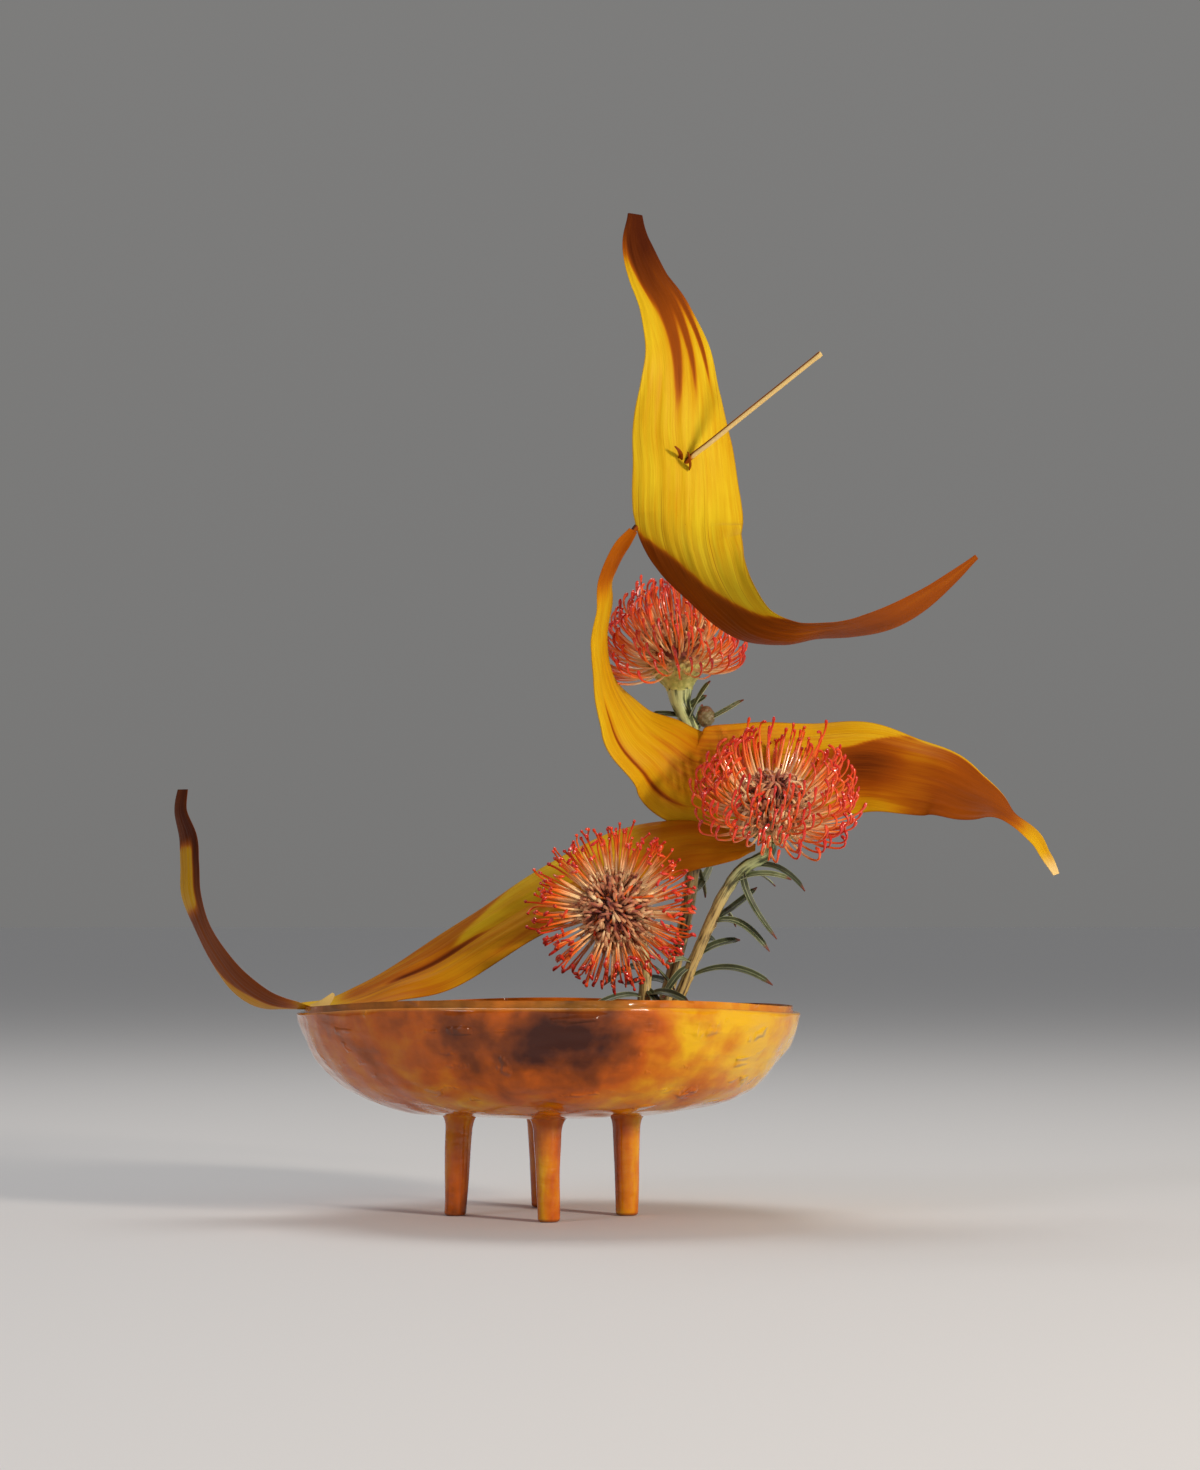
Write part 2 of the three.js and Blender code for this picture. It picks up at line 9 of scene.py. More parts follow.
import bpy
import mathutils
import numpy as np
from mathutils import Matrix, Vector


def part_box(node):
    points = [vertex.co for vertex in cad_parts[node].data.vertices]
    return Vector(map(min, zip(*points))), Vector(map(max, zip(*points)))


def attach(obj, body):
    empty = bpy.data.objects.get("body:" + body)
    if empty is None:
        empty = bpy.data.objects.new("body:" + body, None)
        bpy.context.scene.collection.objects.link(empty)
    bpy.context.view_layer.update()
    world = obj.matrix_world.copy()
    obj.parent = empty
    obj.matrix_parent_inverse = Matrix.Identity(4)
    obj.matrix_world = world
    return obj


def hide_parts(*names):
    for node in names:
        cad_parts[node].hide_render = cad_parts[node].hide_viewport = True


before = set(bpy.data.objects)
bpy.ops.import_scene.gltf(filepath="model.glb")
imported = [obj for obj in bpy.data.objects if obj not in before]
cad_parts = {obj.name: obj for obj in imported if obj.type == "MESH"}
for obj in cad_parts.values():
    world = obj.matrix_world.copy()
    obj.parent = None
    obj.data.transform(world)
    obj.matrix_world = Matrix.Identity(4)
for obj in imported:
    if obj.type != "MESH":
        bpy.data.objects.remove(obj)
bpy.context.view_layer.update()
print("nodes in the frame:", sorted(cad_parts))

# %% [markdown]
# ## Where the middle of the bowl is
# The frame's origin is under the middle of the whole arrangement, but the bowl is round and everything
# in it grows from there, so its middle is the handier place to measure from. The hand-formed bowl is
# not quite a circle: its radius swells and shrinks three times round, by a small share, and the
# middle of its box is off the middle of the bowl by that much.

# %% The middle of the bowl
MM = 0.001
RIM_RADIUS = 147.0
LIP_SWELL = 0.004

bowl_low, bowl_high = (np.array(corner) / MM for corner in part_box("bowl"))
swell_shift = RIM_RADIUS * LIP_SWELL * np.array([np.sin(1.0), -np.cos(1.0), 0.0])
MIDDLE = (bowl_low + bowl_high) / 2 - swell_shift
MIDDLE[2] = 0.0
print("middle of the bowl, mm:", MIDDLE.round(3))

# %% [markdown]
# ## Shapes as arrays
# A shape is kept as points, faces and marks. The marks are numbers for each point, such as how far
# along a leaf it lies, which the materials read later as attributes. Faces are arrays of corner
# numbers, one array for each number of corners, so nothing loops over single points.

# %% A shape, and joining shapes
class Shape:
    """Points in millimetres, a list of arrays of face corners, and a dict of marks per point."""

    def __init__(self, points, faces, marks):
        self.points = points.reshape(-1, 3)
        self.faces = faces
        size = len(self.points)
        self.marks = {name: np.broadcast_to(mark, size) for name, mark in marks.items()}

    def volume(self):
        """Signed volume: a sixth of the sum of each triangle's corner product, fanned face by face."""
        total = 0.0
        for face in self.faces:
            a, b, c = (self.points[face[:, k]] for k in (0, slice(1, -1), slice(2, None)))
            total += np.einsum("ij,ikj->", a, np.cross(b, c)) / 6
        return total

    def outward(self):
        """The same shape with its faces turned outwards."""
        if self.volume() < 0:
            self.faces = [face[:, ::-1] for face in self.faces]
        return self


def joined(*shapes):
    """Several shapes as one: each one's corner numbers are moved on by the points before it."""
    starts = np.cumsum([0] + [len(shape.points) for shape in shapes])
    faces = [face + start for shape, start in zip(shapes, starts) for face in shape.faces]
    names = shapes[0].marks
    marks = {name: np.concatenate([shape.marks[name] for shape in shapes]) for name in names}
    return Shape(np.concatenate([shape.points for shape in shapes]), faces, marks)


# %% [markdown]
# Nearly every piece here is a closed skin of rings: a stem is a tube, a leaf is a tube pressed flat,
# and a bowl is a ring of profiles. So one function closes them all. Its grid holds many tubes at once,
# because a flower head has hundreds of them.

# %% Close a grid of rings into tubes
def tubes(grid, **marks):
    """Closed tubes from a grid of (tubes, rings, sides, 3) points.

    Each four neighbours on two rings make a face, the last side joins the first one, and the first
    and last ring of each tube are its flat ends."""
    number = np.arange(grid[..., 0].size).reshape(grid.shape[:-1])
    low, high = number[:, :-1], number[:, 1:]
    corners = [low, np.roll(low, -1, 2), np.roll(high, -1, 2), high]
    walls = np.stack(corners, -1).reshape(-1, 4)
    ends = np.concatenate([number[:, 0, ::-1], number[:, -1]])
    flat = {
        name: np.broadcast_to(mark, grid.shape[:-1]).ravel() for name, mark in marks.items()
    }
    return Shape(grid, [walls, ends], flat).outward()


# %% Put a shape into the scene
SHARP = np.radians(50)


def new_piece(name, shape, finish, slot, *stands_for):
    """Makes the mesh of a finished shape, gives it its finish and ties it to the frame."""
    mesh = bpy.data.meshes.new(name)
    mesh.vertices.add(len(shape.points))
    mesh.vertices.foreach_set("co", ((shape.points + MIDDLE) * MM).astype(np.float32).ravel())
    corners = np.concatenate([face.ravel() for face in shape.faces])
    sizes = np.concatenate([np.full(len(face), face.shape[1]) for face in shape.faces])
    mesh.loops.add(len(corners))
    mesh.loops.foreach_set("vertex_index", corners.astype(np.int32))
    mesh.polygons.add(len(sizes))
    mesh.polygons.foreach_set("loop_start", (np.cumsum(sizes) - sizes).astype(np.int32))
    mesh.update(calc_edges=True)
    mesh.polygons.foreach_set("use_smooth", np.ones(len(sizes), bool))
    mesh.set_sharp_from_angle(angle=SHARP)
    for mark, values in shape.marks.items():
        layer = mesh.attributes.new(mark, "FLOAT", "POINT")
        layer.data.foreach_set("value", values.astype(np.float32))
    mesh.materials.append(finish.material)
    piece = bpy.data.objects.new(name, mesh)
    bpy.context.scene.collection.objects.link(piece)
    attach(piece, "root")
    if stands_for:
        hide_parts(*stands_for)
    print(f"{name}: {len(shape.points)} points, {len(sizes)} faces")
    return piece


# %% [markdown]
# ## Curves and waves
# Stems and leaves follow a smooth curve through a few listed stations. The centripetal Catmull-Rom curve
# passes through every station and makes no loops between near ones.
# The small unevenness of hand-formed clay and dried leaves comes from a sum of sine waves in random
# directions: it never repeats, it has no seam, and the seed makes it the same each time.

# %% Small vector helpers
def unit(vectors):
    """The same directions with length one."""
    return vectors / np.linalg.norm(vectors, axis=-1, keepdims=True)


def smooth(value, low, high):
    """0 below low, 1 above high, and between them 3s squared less 2s cubed."""
    share = np.clip((value - low) / (high - low), 0, 1)
    return share * share * (3 - 2 * share)


def around(count):
    """Evenly spaced angles once round, from 0."""
    return np.linspace(0, 2 * np.pi, count, endpoint=False)


def window(value, rise, full, fade, gone):
    """0 up to rise, 1 from full to fade, and 0 again from gone on."""
    return smooth(value, rise, full) * (1 - smooth(value, fade, gone))


def bell(value, middle, width):
    """1 at the middle, and e to minus the square of the distance over the width beside it."""
    return np.exp(-(((value - middle) / width) ** 2))


def waves(points, size, seed, count=9):
    """A sum of sines of the points' distance along random directions, from about -1 to 1."""
    draw = np.random.default_rng(seed)
    ways = unit(draw.normal(size=(count, 3))) * 2 * np.pi / (size * draw.uniform(0.7, 1.5, (count, 1)))
    return np.sin(points @ ways.T + draw.uniform(0, 2 * np.pi, count)).sum(-1) / np.sqrt(count)


# %% A curve through stations
def curve_through(stations, t):
    """Places and slopes on the centripetal Catmull-Rom curve, at t from 0 to 1.

    Between two stations the curve is a cubic. Its slope at a station is weighed from the slopes to
    both neighbours, and a gap counts as the square root of its length."""
    stations = np.asarray(stations, float)
    before, after = 2 * stations[0] - stations[1], 2 * stations[-1] - stations[-2]
    line = np.vstack([before, stations, after])
    gaps = np.maximum(np.sqrt(np.linalg.norm(np.diff(line, axis=0), axis=1)), 1e-4)
    place = np.asarray(t, float) * (len(stations) - 1)
    i = np.minimum(place.astype(int), len(stations) - 2)
    w = (place - i)[..., None]
    p0, p1, p2, p3 = (line[i + k] for k in range(4))
    d0, d1, d2 = (gaps[i + k][..., None] for k in range(3))
    first = ((p1 - p0) / d0 - (p2 - p0) / (d0 + d1)) * d1 + (p2 - p1)
    last = (p2 - p1) + ((p3 - p2) / d2 - (p3 - p1) / (d1 + d2)) * d1
    c2 = 3 * (p2 - p1) - 2 * first - last
    c3 = 2 * (p1 - p2) + first + last
    return p1 + w * (first + w * (c2 + w * c3)), first + w * (2 * c2 + 3 * w * c3)


def evenly(stations, shares):
    """Places on the curve at shares of its length: t is read off the running length of the curve."""
    steps = np.linspace(0, 1, 800)
    fine = curve_through(stations, steps)[0]
    run = np.append(0, np.cumsum(np.linalg.norm(np.diff(fine, axis=0), axis=1)))
    return curve_through(stations, np.interp(np.asarray(shares) * run[-1], run, steps))[0]


# %% Rings round many paths at once
def ringed(paths, side, across_radius, along_radius=None, sides=8):
    """Rings round paths of (tubes, rings, 3) points.

    On each ring, one half axis lies across both side and the path and the other stands on both,
    and the angle runs round them as on an ellipse."""
    along_radius = across_radius if along_radius is None else along_radius
    tangent = unit(np.gradient(paths, axis=1))
    across = unit(np.cross(side, tangent))
    along = np.cross(across, tangent)
    angle = around(sides)[:, None]
    wide = (across * across_radius[..., None])[:, :, None] * np.cos(angle)
    thick = (along * along_radius[..., None])[:, :, None] * np.sin(angle)
    return paths[:, :, None] + wide + thick


def two_faces(flat, body):
    """Rings round thin blades: the front from margin to margin, and then the back the other way."""
    return np.concatenate([flat + body, (flat - body)[..., ::-1, :]], -2)


def there_and_back(u):
    return np.concatenate([u, u[::-1]])


# %% [markdown]
# ## Materials written as arithmetic
# A material is a graph of nodes, which is hard to read as a list of links. Here one small class wraps
# a socket and gives it the signs of arithmetic, so that a mask can be written as it is thought. Nearly
# every node comes from one method: its settings are made first, then its sockets are joined or filled.

# %% The wire
def maths(operation, swapped=False):
    """A method that joins its wire and the other values with one Math node."""

    def method(wire, *others):
        values = (*others, wire) if swapped else (wire, *others)
        return wire.finish.node("Math", {"operation": operation}, dict(enumerate(values)))

    return method


class Wire:
    """A socket of a finish on which + - * / ** and abs() make Math nodes."""

    __add__ = __radd__ = maths("ADD")
    __mul__ = __rmul__ = maths("MULTIPLY")
    __sub__ = maths("SUBTRACT")
    __rsub__ = maths("SUBTRACT", swapped=True)
    __truediv__ = maths("DIVIDE")
    __pow__ = maths("POWER")
    __abs__ = maths("ABSOLUTE")

    def __init__(self, finish, socket):
        self.finish = finish
        self.socket = socket


# %% The graph and the finish
class Graph:
    """A tree of nodes, which are all made by one method."""

    def __init__(self, tree):
        self.tree = tree

    def put(self, socket, value):
        """Links a wire to a socket, or fills the socket with a number or colour."""
        if isinstance(value, Wire):
            self.tree.links.new(value.socket, socket)
        else:
            socket.default_value = value

    def node(self, kind, settings=None, values=None, output=0):
        """Any node: its settings first, then the values or wires of its sockets."""
        made = self.tree.nodes.new("ShaderNode" + kind)
        for key, value in (settings or {}).items():
            if key == "stops":
                for _ in value[2:]:
                    made.color_ramp.elements.new(0.5)
                for element, (place, tint) in zip(made.color_ramp.elements, value):
                    element.position = place
                    element.color = tint
            else:
                setattr(made, key, value)
        for key, value in (values or {}).items():
            self.put(made.inputs[key], value)
        return Wire(self, made.outputs[output])


class Finish(Graph):
    """A material with one main shader. Constants go straight to the shader's own sockets."""

    def __init__(self, name, **constants):
        self.material = bpy.data.materials.new(name)
        self.material.use_nodes = True
        super().__init__(self.material.node_tree)
        self.tree.nodes.clear()
        self.shader = self.tree.nodes.new("ShaderNodeBsdfPrincipled")
        output = self.tree.nodes.new("ShaderNodeOutputMaterial")
        self.tree.links.new(self.shader.outputs[0], output.inputs[0])
        self.set(**constants)

    def set(self, **values):
        """Fills or links the main shader's sockets, with _ for a space."""
        for name, value in values.items():
            self.put(self.shader.inputs[name.replace("_", " ")], value)

    def marks(self, names):
        """The marks that the shape carries, one wire for each name."""
        return [self.node("Attribute", {"attribute_name": name}, output="Fac") for name in names.split()]

    def place(self):
        """The point's place on the object, in metres, as three wires."""
        where = self.node("TexCoord", output="Object")
        return [self.node("SeparateXYZ", {}, {0: where}, output=k) for k in range(3)]

    def noise(self, place, scale=1.0, detail=2.0, rough=0.5, bend=0.0):
        """Noise about 0.5, read at a place of three wires or numbers."""
        spot = self.node("CombineXYZ", {}, dict(enumerate(place)))
        values = {"Scale": scale, "Detail": detail, "Roughness": rough, "Distortion": bend}
        return self.node("TexNoise", {}, {"Vector": spot, **values})

    def mix(self, share, first, second):
        """A blend of two colours: the sockets 6 and 7 of the Mix node are its colours."""
        settings = {"data_type": "RGBA"}
        return self.node("Mix", settings, {0: share, 6: first, 7: second}, output=2)

    def ramp(self, share, *stops):
        return self.node("ValToRGB", {"stops": stops}, {0: share})

    def smooth(self, value, low, high):
        settings = {"interpolation_type": "SMOOTHSTEP"}
        values = {"Value": value, "From Min": low, "From Max": high}
        return self.node("MapRange", settings, values)

    def bump(self, height, depth, strength=1.0):
        """A Bump node on the shader's normal: depth is the relief's height in millimetres."""
        values = {"Height": height, "Distance": depth * MM, "Strength": strength}
        self.set(Normal=self.node("Bump", {}, values))


def tints(codes):
    """Colours from six-digit codes, with each part taken from screen to linear light."""
    parts = np.array([list(bytes.fromhex(code)) for code in codes.split()]) / 255
    linear = np.where(parts > 0.04045, ((parts + 0.055) / 1.055) ** 2.4, parts / 12.92)
    return [(*colour, 1.0) for colour in linear]


# %% [markdown]
# ## The bowl
# The bowl was pinched and scraped by hand, so its wall is a smooth curve with shallow dents, and its
# lip rises in front and dips at both sides. One could sculpt it or displace a lathe with a modifier.
# Here the wall's height is a formula of the radius, as in the frame, and the dents are waves added
# along the surface's own normal, so the highlights break up as they do on real glaze.

# %% The bowl's profile
BOTTOM, LIP_HEIGHT, LIP_CROWN = 59.0, 118.6, 1.3
LIP, WALL, FLOOR = 4.5, 5.0, 68.0
LIP_TILT, LIP_SADDLE, LIP_RIPPLE = 2.7, 1.8, 0.5
INNER_RADIUS = RIM_RADIUS - LIP
WATER_LEVEL = 98.5


def outside_height(radius):
    """Flat in the middle and steep at the lip: full height less a power of what is left inside."""
    fullness = np.maximum(1 - (radius / RIM_RADIUS) ** 5, 0)
    return LIP_HEIGHT - (LIP_HEIGHT - BOTTOM) * fullness ** (1 / 1.4)


def inside_height(radius):
    """The outside's curve one wall higher, but never below the flat floor."""
    return np.maximum(FLOOR, outside_height(radius * RIM_RADIUS / INNER_RADIUS) + WALL)


def wall_radii(edge, count):
    """Radii from near 0 to edge: even in the middle, then closer together where the wall is steep."""
    middle = edge * np.linspace(0.004, 0.32, 9, endpoint=False)
    return np.append(middle, edge * np.sin(np.linspace(0.058, np.pi / 2, count)) ** 0.4)


def lip_rise(angle):
    """The lip's waves: one tilts it, two make a saddle and five a faint ripple."""
    return -LIP_TILT * np.sin(angle) - LIP_SADDLE * np.cos(2 * angle) + LIP_RIPPLE * np.sin(5 * angle)


def hand_formed(points):
    """Lifts each point by the lip's waves, more the higher it lies, and swells it sideways."""
    angle = np.arctan2(points[..., 1], points[..., 0])
    lift = np.maximum(0, (points[..., 2] - FLOOR) / (LIP_HEIGHT - FLOOR))
    swell = 1 + LIP_SWELL * np.sin(3 * angle + 1)
    height = points[..., 2] + lip_rise(angle) * lift
    return np.stack([points[..., 0] * swell, points[..., 1] * swell, height], -1)


def upright(radii, heights, angle):
    """Points round the upright axis: x and y are the radius times cosine and sine."""
    return np.stack([radii * np.cos(angle), radii * np.sin(angle), heights], -1)


def turned(radii, heights, segments):
    """A profile carried round the upright axis, one ring for each of its points."""
    angle = around(segments)
    still = np.zeros(segments)
    return upright(np.asarray(radii)[:, None] + still, np.asarray(heights)[:, None] + still, angle)


def normals(grid):
    """The direction across both ways of a closed grid: the product of its two differences."""
    round_way = np.roll(grid, -1, 1) - np.roll(grid, 1, 1)
    return unit(np.cross(round_way, np.gradient(grid, axis=0)) + 1e-9)


# %% The bowl's shell
DENTS = [(0.62, 46, 1.7, 3), (0.2, 17, 2.4, 4)]  # depth, length, how much shorter upwards, seed


def bowl_shell(segments=288):
    """Outside, crown and inside as one profile, turned, waved and dented along its own normals."""
    outer, inner = wall_radii(RIM_RADIUS, 70), wall_radii(INNER_RADIUS, 50)[::-1]
    crown = np.linspace(0, np.pi, 9)[1:-1]
    crown_radii = (RIM_RADIUS + INNER_RADIUS) / 2 + LIP / 2 * np.cos(crown)
    crown_heights = LIP_HEIGHT + LIP_CROWN * np.sin(crown) ** 0.7
    radii = np.concatenate([outer, crown_radii, inner])
    heights = np.concatenate([outside_height(outer), crown_heights, inside_height(inner)])
    grid = hand_formed(turned(radii, heights, segments))
    dents = sum(depth * waves(grid * [1, 1, tall], size, seed) for depth, size, tall, seed in DENTS)
    row = np.arange(len(radii))[:, None]
    outside = 1 - smooth(row, len(outer) - 5, len(outer))
    inside = smooth(row, len(radii) - len(inner), len(radii) - len(inner) + 8)
    inside = inside * smooth(grid[..., 2], WATER_LEVEL, WATER_LEVEL + 6)
    grid = grid + normals(grid) * (dents * (outside + 0.4 * inside))[..., None]
    lip = smooth(row, len(outer) - 3, len(outer) + 1) * (1 - smooth(row, len(outer) + 5, len(outer) + 9))
    inner_side = row > len(outer) + len(crown_radii) / 2
    return tubes(grid[None], lip=lip, inner=inner_side, foot=0.0)


shell = bowl_shell()
print("bowl shell:", len(shell.points), "points")

# %% [markdown]
# The four legs were pulled out of the same clay, so they flare into the underside in a small cove.
# Each leg is a tube whose radius follows the frame's profile, and the cove is a quarter of an ellipse
# that ends level with the underside, where no seam shows. Each leg leans and waves a little.

# %% The bowl's legs
LEGS = [
    [(-51, -2), (-54, -3)],
    [(46, -2), (46, -3)],
    [(0, -49), (0.5, -50)],
    [(-5, 57), (-3, 58)],
]
LEG_TOP, LEG_BURIED = 64.0, 61.5
SHANK = np.array([(0, 5.3), (0.35, 6.0), (0.9, 6.35), (1.8, 6.6), (30, 7.1), (52, 8.0)])  # height, radius
COVE_START, COVE_WIDTH, COVE_TOP = 49.5, 4.6, 59.25
LEG_WAVE, LEG_WAVE_LENGTH = 0.34, 24


def leg(top, foot, seed):
    """Rings up a leg: the shank widens slowly, and the cove widens by one less a quarter circle."""
    cove = COVE_START + (COVE_TOP - COVE_START) * np.sin(np.linspace(0.12, np.pi / 2, 12))
    heights = np.concatenate([SHANK[:4, 0], np.linspace(3, COVE_START, 30), cove, [LEG_BURIED]])
    share = np.clip((heights - COVE_START) / (COVE_TOP - COVE_START), 0, 1)
    radii = np.interp(heights, *SHANK.T) + COVE_WIDTH * (1 - np.sqrt(np.maximum(1 - share**2, 0)))
    ring = turned(radii, heights, 40)
    t = ring[..., 2:] / LEG_TOP
    lean = np.array([*foot, 0]) * (1 - t) + np.array([*top, 0]) * t
    wave = waves(ring * [1, 1, 0.6] + seed * 50, LEG_WAVE_LENGTH, seed)[..., None] * [1, 1, 0]
    away = unit(ring * [1, 1, 0] + 1e-9)
    held = 1 - smooth(ring[..., 2:], COVE_START, COVE_TOP)
    return tubes((ring + lean + away * wave * LEG_WAVE * held)[None], lip=0.0, inner=0.0, foot=1.0)


legs = [leg(*ends, seed=k + 20) for k, ends in enumerate(LEGS)]

# %% [markdown]
# The glaze is amber over brown, thick and glossy. In the middle of the front it is dark, partly where it
# gathered thick and partly as a painted reflection of dark surroundings; towards the right it is yellow,
# partly where it ran thin and partly as painted light from the key on that side; along the lip it is so
# thin that it shows pale; and the inside wall is painted darker, as painted shade. Its clouds are noise
# in three sizes, read from the object's own coordinates so that they run on from the wall into the legs.
# A bump of stretched noise gives the small ripples that break up the light.

# %% The glaze
GLAZE_DARK, GLAZE_BROWN, GLAZE_ORANGE = tints("3a1202 7c3804 b85602")
GLAZE_AMBER, GLAZE_YELLOW, GLAZE_PALE = tints("cb7803 dfac06 d99a44")
POOL_REFLECTION_X, POOL_REFLECTION_Z = 0.002, 0.106  # metres: the dark spot in the middle of the front, partly thick glaze and partly a painted reflection
POOL_REFLECTION_WIDE, POOL_REFLECTION_HIGH = 0.048, 0.019


def amber_glaze():
    glaze = Finish("amber_glaze", Coat_Weight=0.12, Coat_Roughness=0.03, Specular_IOR_Level=0.34)
    x, y, z = glaze.place()
    across = x - float(MIDDLE[0] * MM)
    foot, inner, lip = glaze.marks("foot inner lip")
    clouds = glaze.noise((x, y, z), 20, 3, 0.5, 0.25)
    mottle = glaze.noise((x, y, z), 62, 3, 0.55, 0.2)
    runs = glaze.noise((x * 60, y * 60, z * 11), 1.0, 3, 0.55, 0.2)
    # The dark spot in the front middle is partly thick glaze and partly a painted reflection of dark
    # surroundings, kept to the front of the bowl.
    pool_reflection = (((across - POOL_REFLECTION_X) / POOL_REFLECTION_WIDE) ** 2 + ((z - POOL_REFLECTION_Z) / POOL_REFLECTION_HIGH) ** 2) ** 0.5
    front = 1 - glaze.smooth(y, -0.1, -0.02)
    reach = pool_reflection + (clouds - 0.5) * 1.0 + (mottle - 0.5) * 0.4
    pooled_and_reflected = (1 - glaze.smooth(reach, -0.1, 1.9)) * front
    # Yellower towards the right: partly glaze that ran thin, partly painted light from the key on that
    # side.
    thin_and_lit = glaze.smooth(across, 0.03, 0.13)
    drift = (clouds - 0.5) * 0.75 + (mottle - 0.5) * 0.5 + (runs - 0.5) * (0.2 + foot * 0.9)
    share = 0.53 + drift * (1 - pooled_and_reflected * 0.5) + thin_and_lit * 0.27
    # The inside wall is painted darker: painted shade inside the bowl.
    share = share - pooled_and_reflected * 0.46 - foot * 0.05 - inner * 0.16
    body = glaze.ramp(
        share,
        (0.08, GLAZE_DARK), (0.27, GLAZE_BROWN), (0.47, GLAZE_ORANGE),
        (0.64, GLAZE_AMBER), (0.84, GLAZE_YELLOW),
    )
    pale = lip * (0.4 + (mottle - 0.5) * 0.8)
    bare = foot * (1 - glaze.smooth(z, 0.0006, 0.0022))
    skin = glaze.mix(bare * 0.8, glaze.mix(pale, body, GLAZE_PALE), GLAZE_BROWN)
    glaze.set(Base_Color=skin, Roughness=0.075 + (mottle - 0.5) * 0.05 + bare * 0.3)
    ripples = glaze.noise((x * 42, y * 42, z * 110), 1.0, 2, 0.5, 0.4)
    dimples = glaze.noise((x * 110, y * 110, z * 240), 1.0, 2, 0.5, 0.3)
    scraped = glaze.noise((x * 34, y * 34, z * 150), 1.0, 1)
    strokes = glaze.smooth(scraped, 0.56, 0.74) * glaze.smooth(runs, 0.5, 0.6) * (1 - foot)
    glaze.bump(ripples + dimples * 0.3 + strokes * 2.1, 0.85, 0.9)
    return glaze


glaze = amber_glaze()
new_piece("bowl_glazed", joined(shell, *legs), glaze, "amber_glaze", "bowl")

# %% [markdown]
# ## The pin holder
# What holds the stems upright is a heavy round base full of brass pins, under the water and out of
# sight from the front. The plate is a turned profile with a small round edge. The pins stand on a
# grid of even triangles, and are left out where a stem stands, as the stem hides them.

# %% Stems' routes, which the pins have to know
HOLDER_X, HOLDER_Y, HOLDER_RADIUS, HOLDER_BASE = 54.0, 3.0, 29.0, 10.0
SEAT_GAP = 0.3
HOLDER_BOTTOM = FLOOR + SEAT_GAP
HOLDER_TOP = HOLDER_BOTTOM + HOLDER_BASE
PIN_LENGTH, PIN_RADIUS, PIN_PITCH = 15.0, 0.62, 3.3
NECK_LENGTH = 10.0

BLOOMS = {
    "high": {
        "base": (78, 27, 309), "axis": (-0.1, -0.06, 1),
        "radii": (4.3, 4.6, 5.6), "flare": 3.2,
        "stem": [(57, 13, 90), (71, 16, 131), (84, 18, 190), (87, 18, 250), (85, 22.4, 283)],
    },
    "middle": {
        "base": (129, -16, 219), "axis": (0.05, -0.6, 0.8),
        "radii": (3.8, 3.8, 4.2), "flare": 1,
        "stem": [(61, 1, 90), (76, -1, 125), (90, -3, 159), (103, -6, 187), (113, -8, 201)],
    },
    "low": {
        "base": (40, -21, 176), "axis": (-0.07, -1, 0.06),
        "radii": (4, 4, 4.6), "flare": 1,
        "stem": [(50, -6, 90), (56, -8, 125), (56, -9, 150), (49, -9, 168)],
    },
}


def stem_route(bloom):
    """Up from the pin holder, through the given points, then straight into the head's base."""
    base, axis = np.array(bloom["base"], float), unit(np.array(bloom["axis"], float))
    x, y, _ = bloom["stem"][0]
    foot = (x - 1, y, HOLDER_TOP + 2 * SEAT_GAP)
    return np.array([foot, *bloom["stem"], base - axis * NECK_LENGTH, base - axis * SEAT_GAP])


# %% The pin holder's plate and pins
PLATE_EDGE = 1.2


def plate():
    """A disc whose two edges are quarter circles."""
    edge = np.linspace(0, np.pi / 2, 6)
    radii = [0.6, 12, *(HOLDER_RADIUS - PLATE_EDGE + PLATE_EDGE * np.sin(edge))]
    heights = [0, 0, *(PLATE_EDGE - PLATE_EDGE * np.cos(edge))]
    radii = np.array([*radii, *radii[::-1]])
    heights = np.array([*heights, *(HOLDER_BASE - np.array(heights[::-1]))])
    where = np.array([HOLDER_X, HOLDER_Y, HOLDER_BOTTOM])
    return tubes((turned(radii, heights, 96) + where)[None])


def pins():
    """Pins on a triangle grid: every other row is moved by half a pitch."""
    row, column = np.meshgrid(np.arange(-11, 12), np.arange(-11, 12))
    x = HOLDER_X + (column + row % 2 / 2).ravel() * PIN_PITCH
    y = HOLDER_Y + row.ravel() * PIN_PITCH * np.sqrt(3) / 2
    keep = np.hypot(x - HOLDER_X, y - HOLDER_Y) < HOLDER_RADIUS - 2.5
    for bloom in BLOOMS.values():
        low = evenly(stem_route(bloom), np.linspace(0, 0.1, 12))
        near = np.hypot(x[:, None] - low[:, 0], y[:, None] - low[:, 1]).min(1)
        keep &= near > bloom["radii"][0] + PIN_RADIUS + 0.2
    heights = HOLDER_TOP + np.array([-0.5, 0.5, PIN_LENGTH * 0.72, PIN_LENGTH])
    radii = PIN_RADIUS * np.array([1, 1, 1, 0.12])
    pin = turned(radii, heights, 8)
    foot = np.stack([x[keep], y[keep], np.zeros(keep.sum())], -1)
    return tubes(foot[:, None, None] + pin)


def worn_metal(name, light, dark, rough):
    """Metal with a dull film: noise moves the colour and the roughness together."""
    metal = Finish(name, Metallic=1.0)
    film = metal.noise(metal.place(), 180, 4, 0.6)
    shade = metal.ramp(film, (0.3, dark), (0.7, light))
    metal.set(Base_Color=shade, Roughness=rough + (film - 0.5) * 0.3)
    metal.bump(film, 0.12, 0.5)
    return metal


lead = worn_metal("dull_lead", *tints("8a8780 4f4d49"), 0.5)
brass = worn_metal("brass_pins", *tints("d9b065 8a6a30"), 0.28)
new_piece("pin_holder_plate", plate(), lead, "pin_holder_metal", "pin_holder")
new_piece("pin_holder_pins", pins(), brass, "pin_holder_metal")

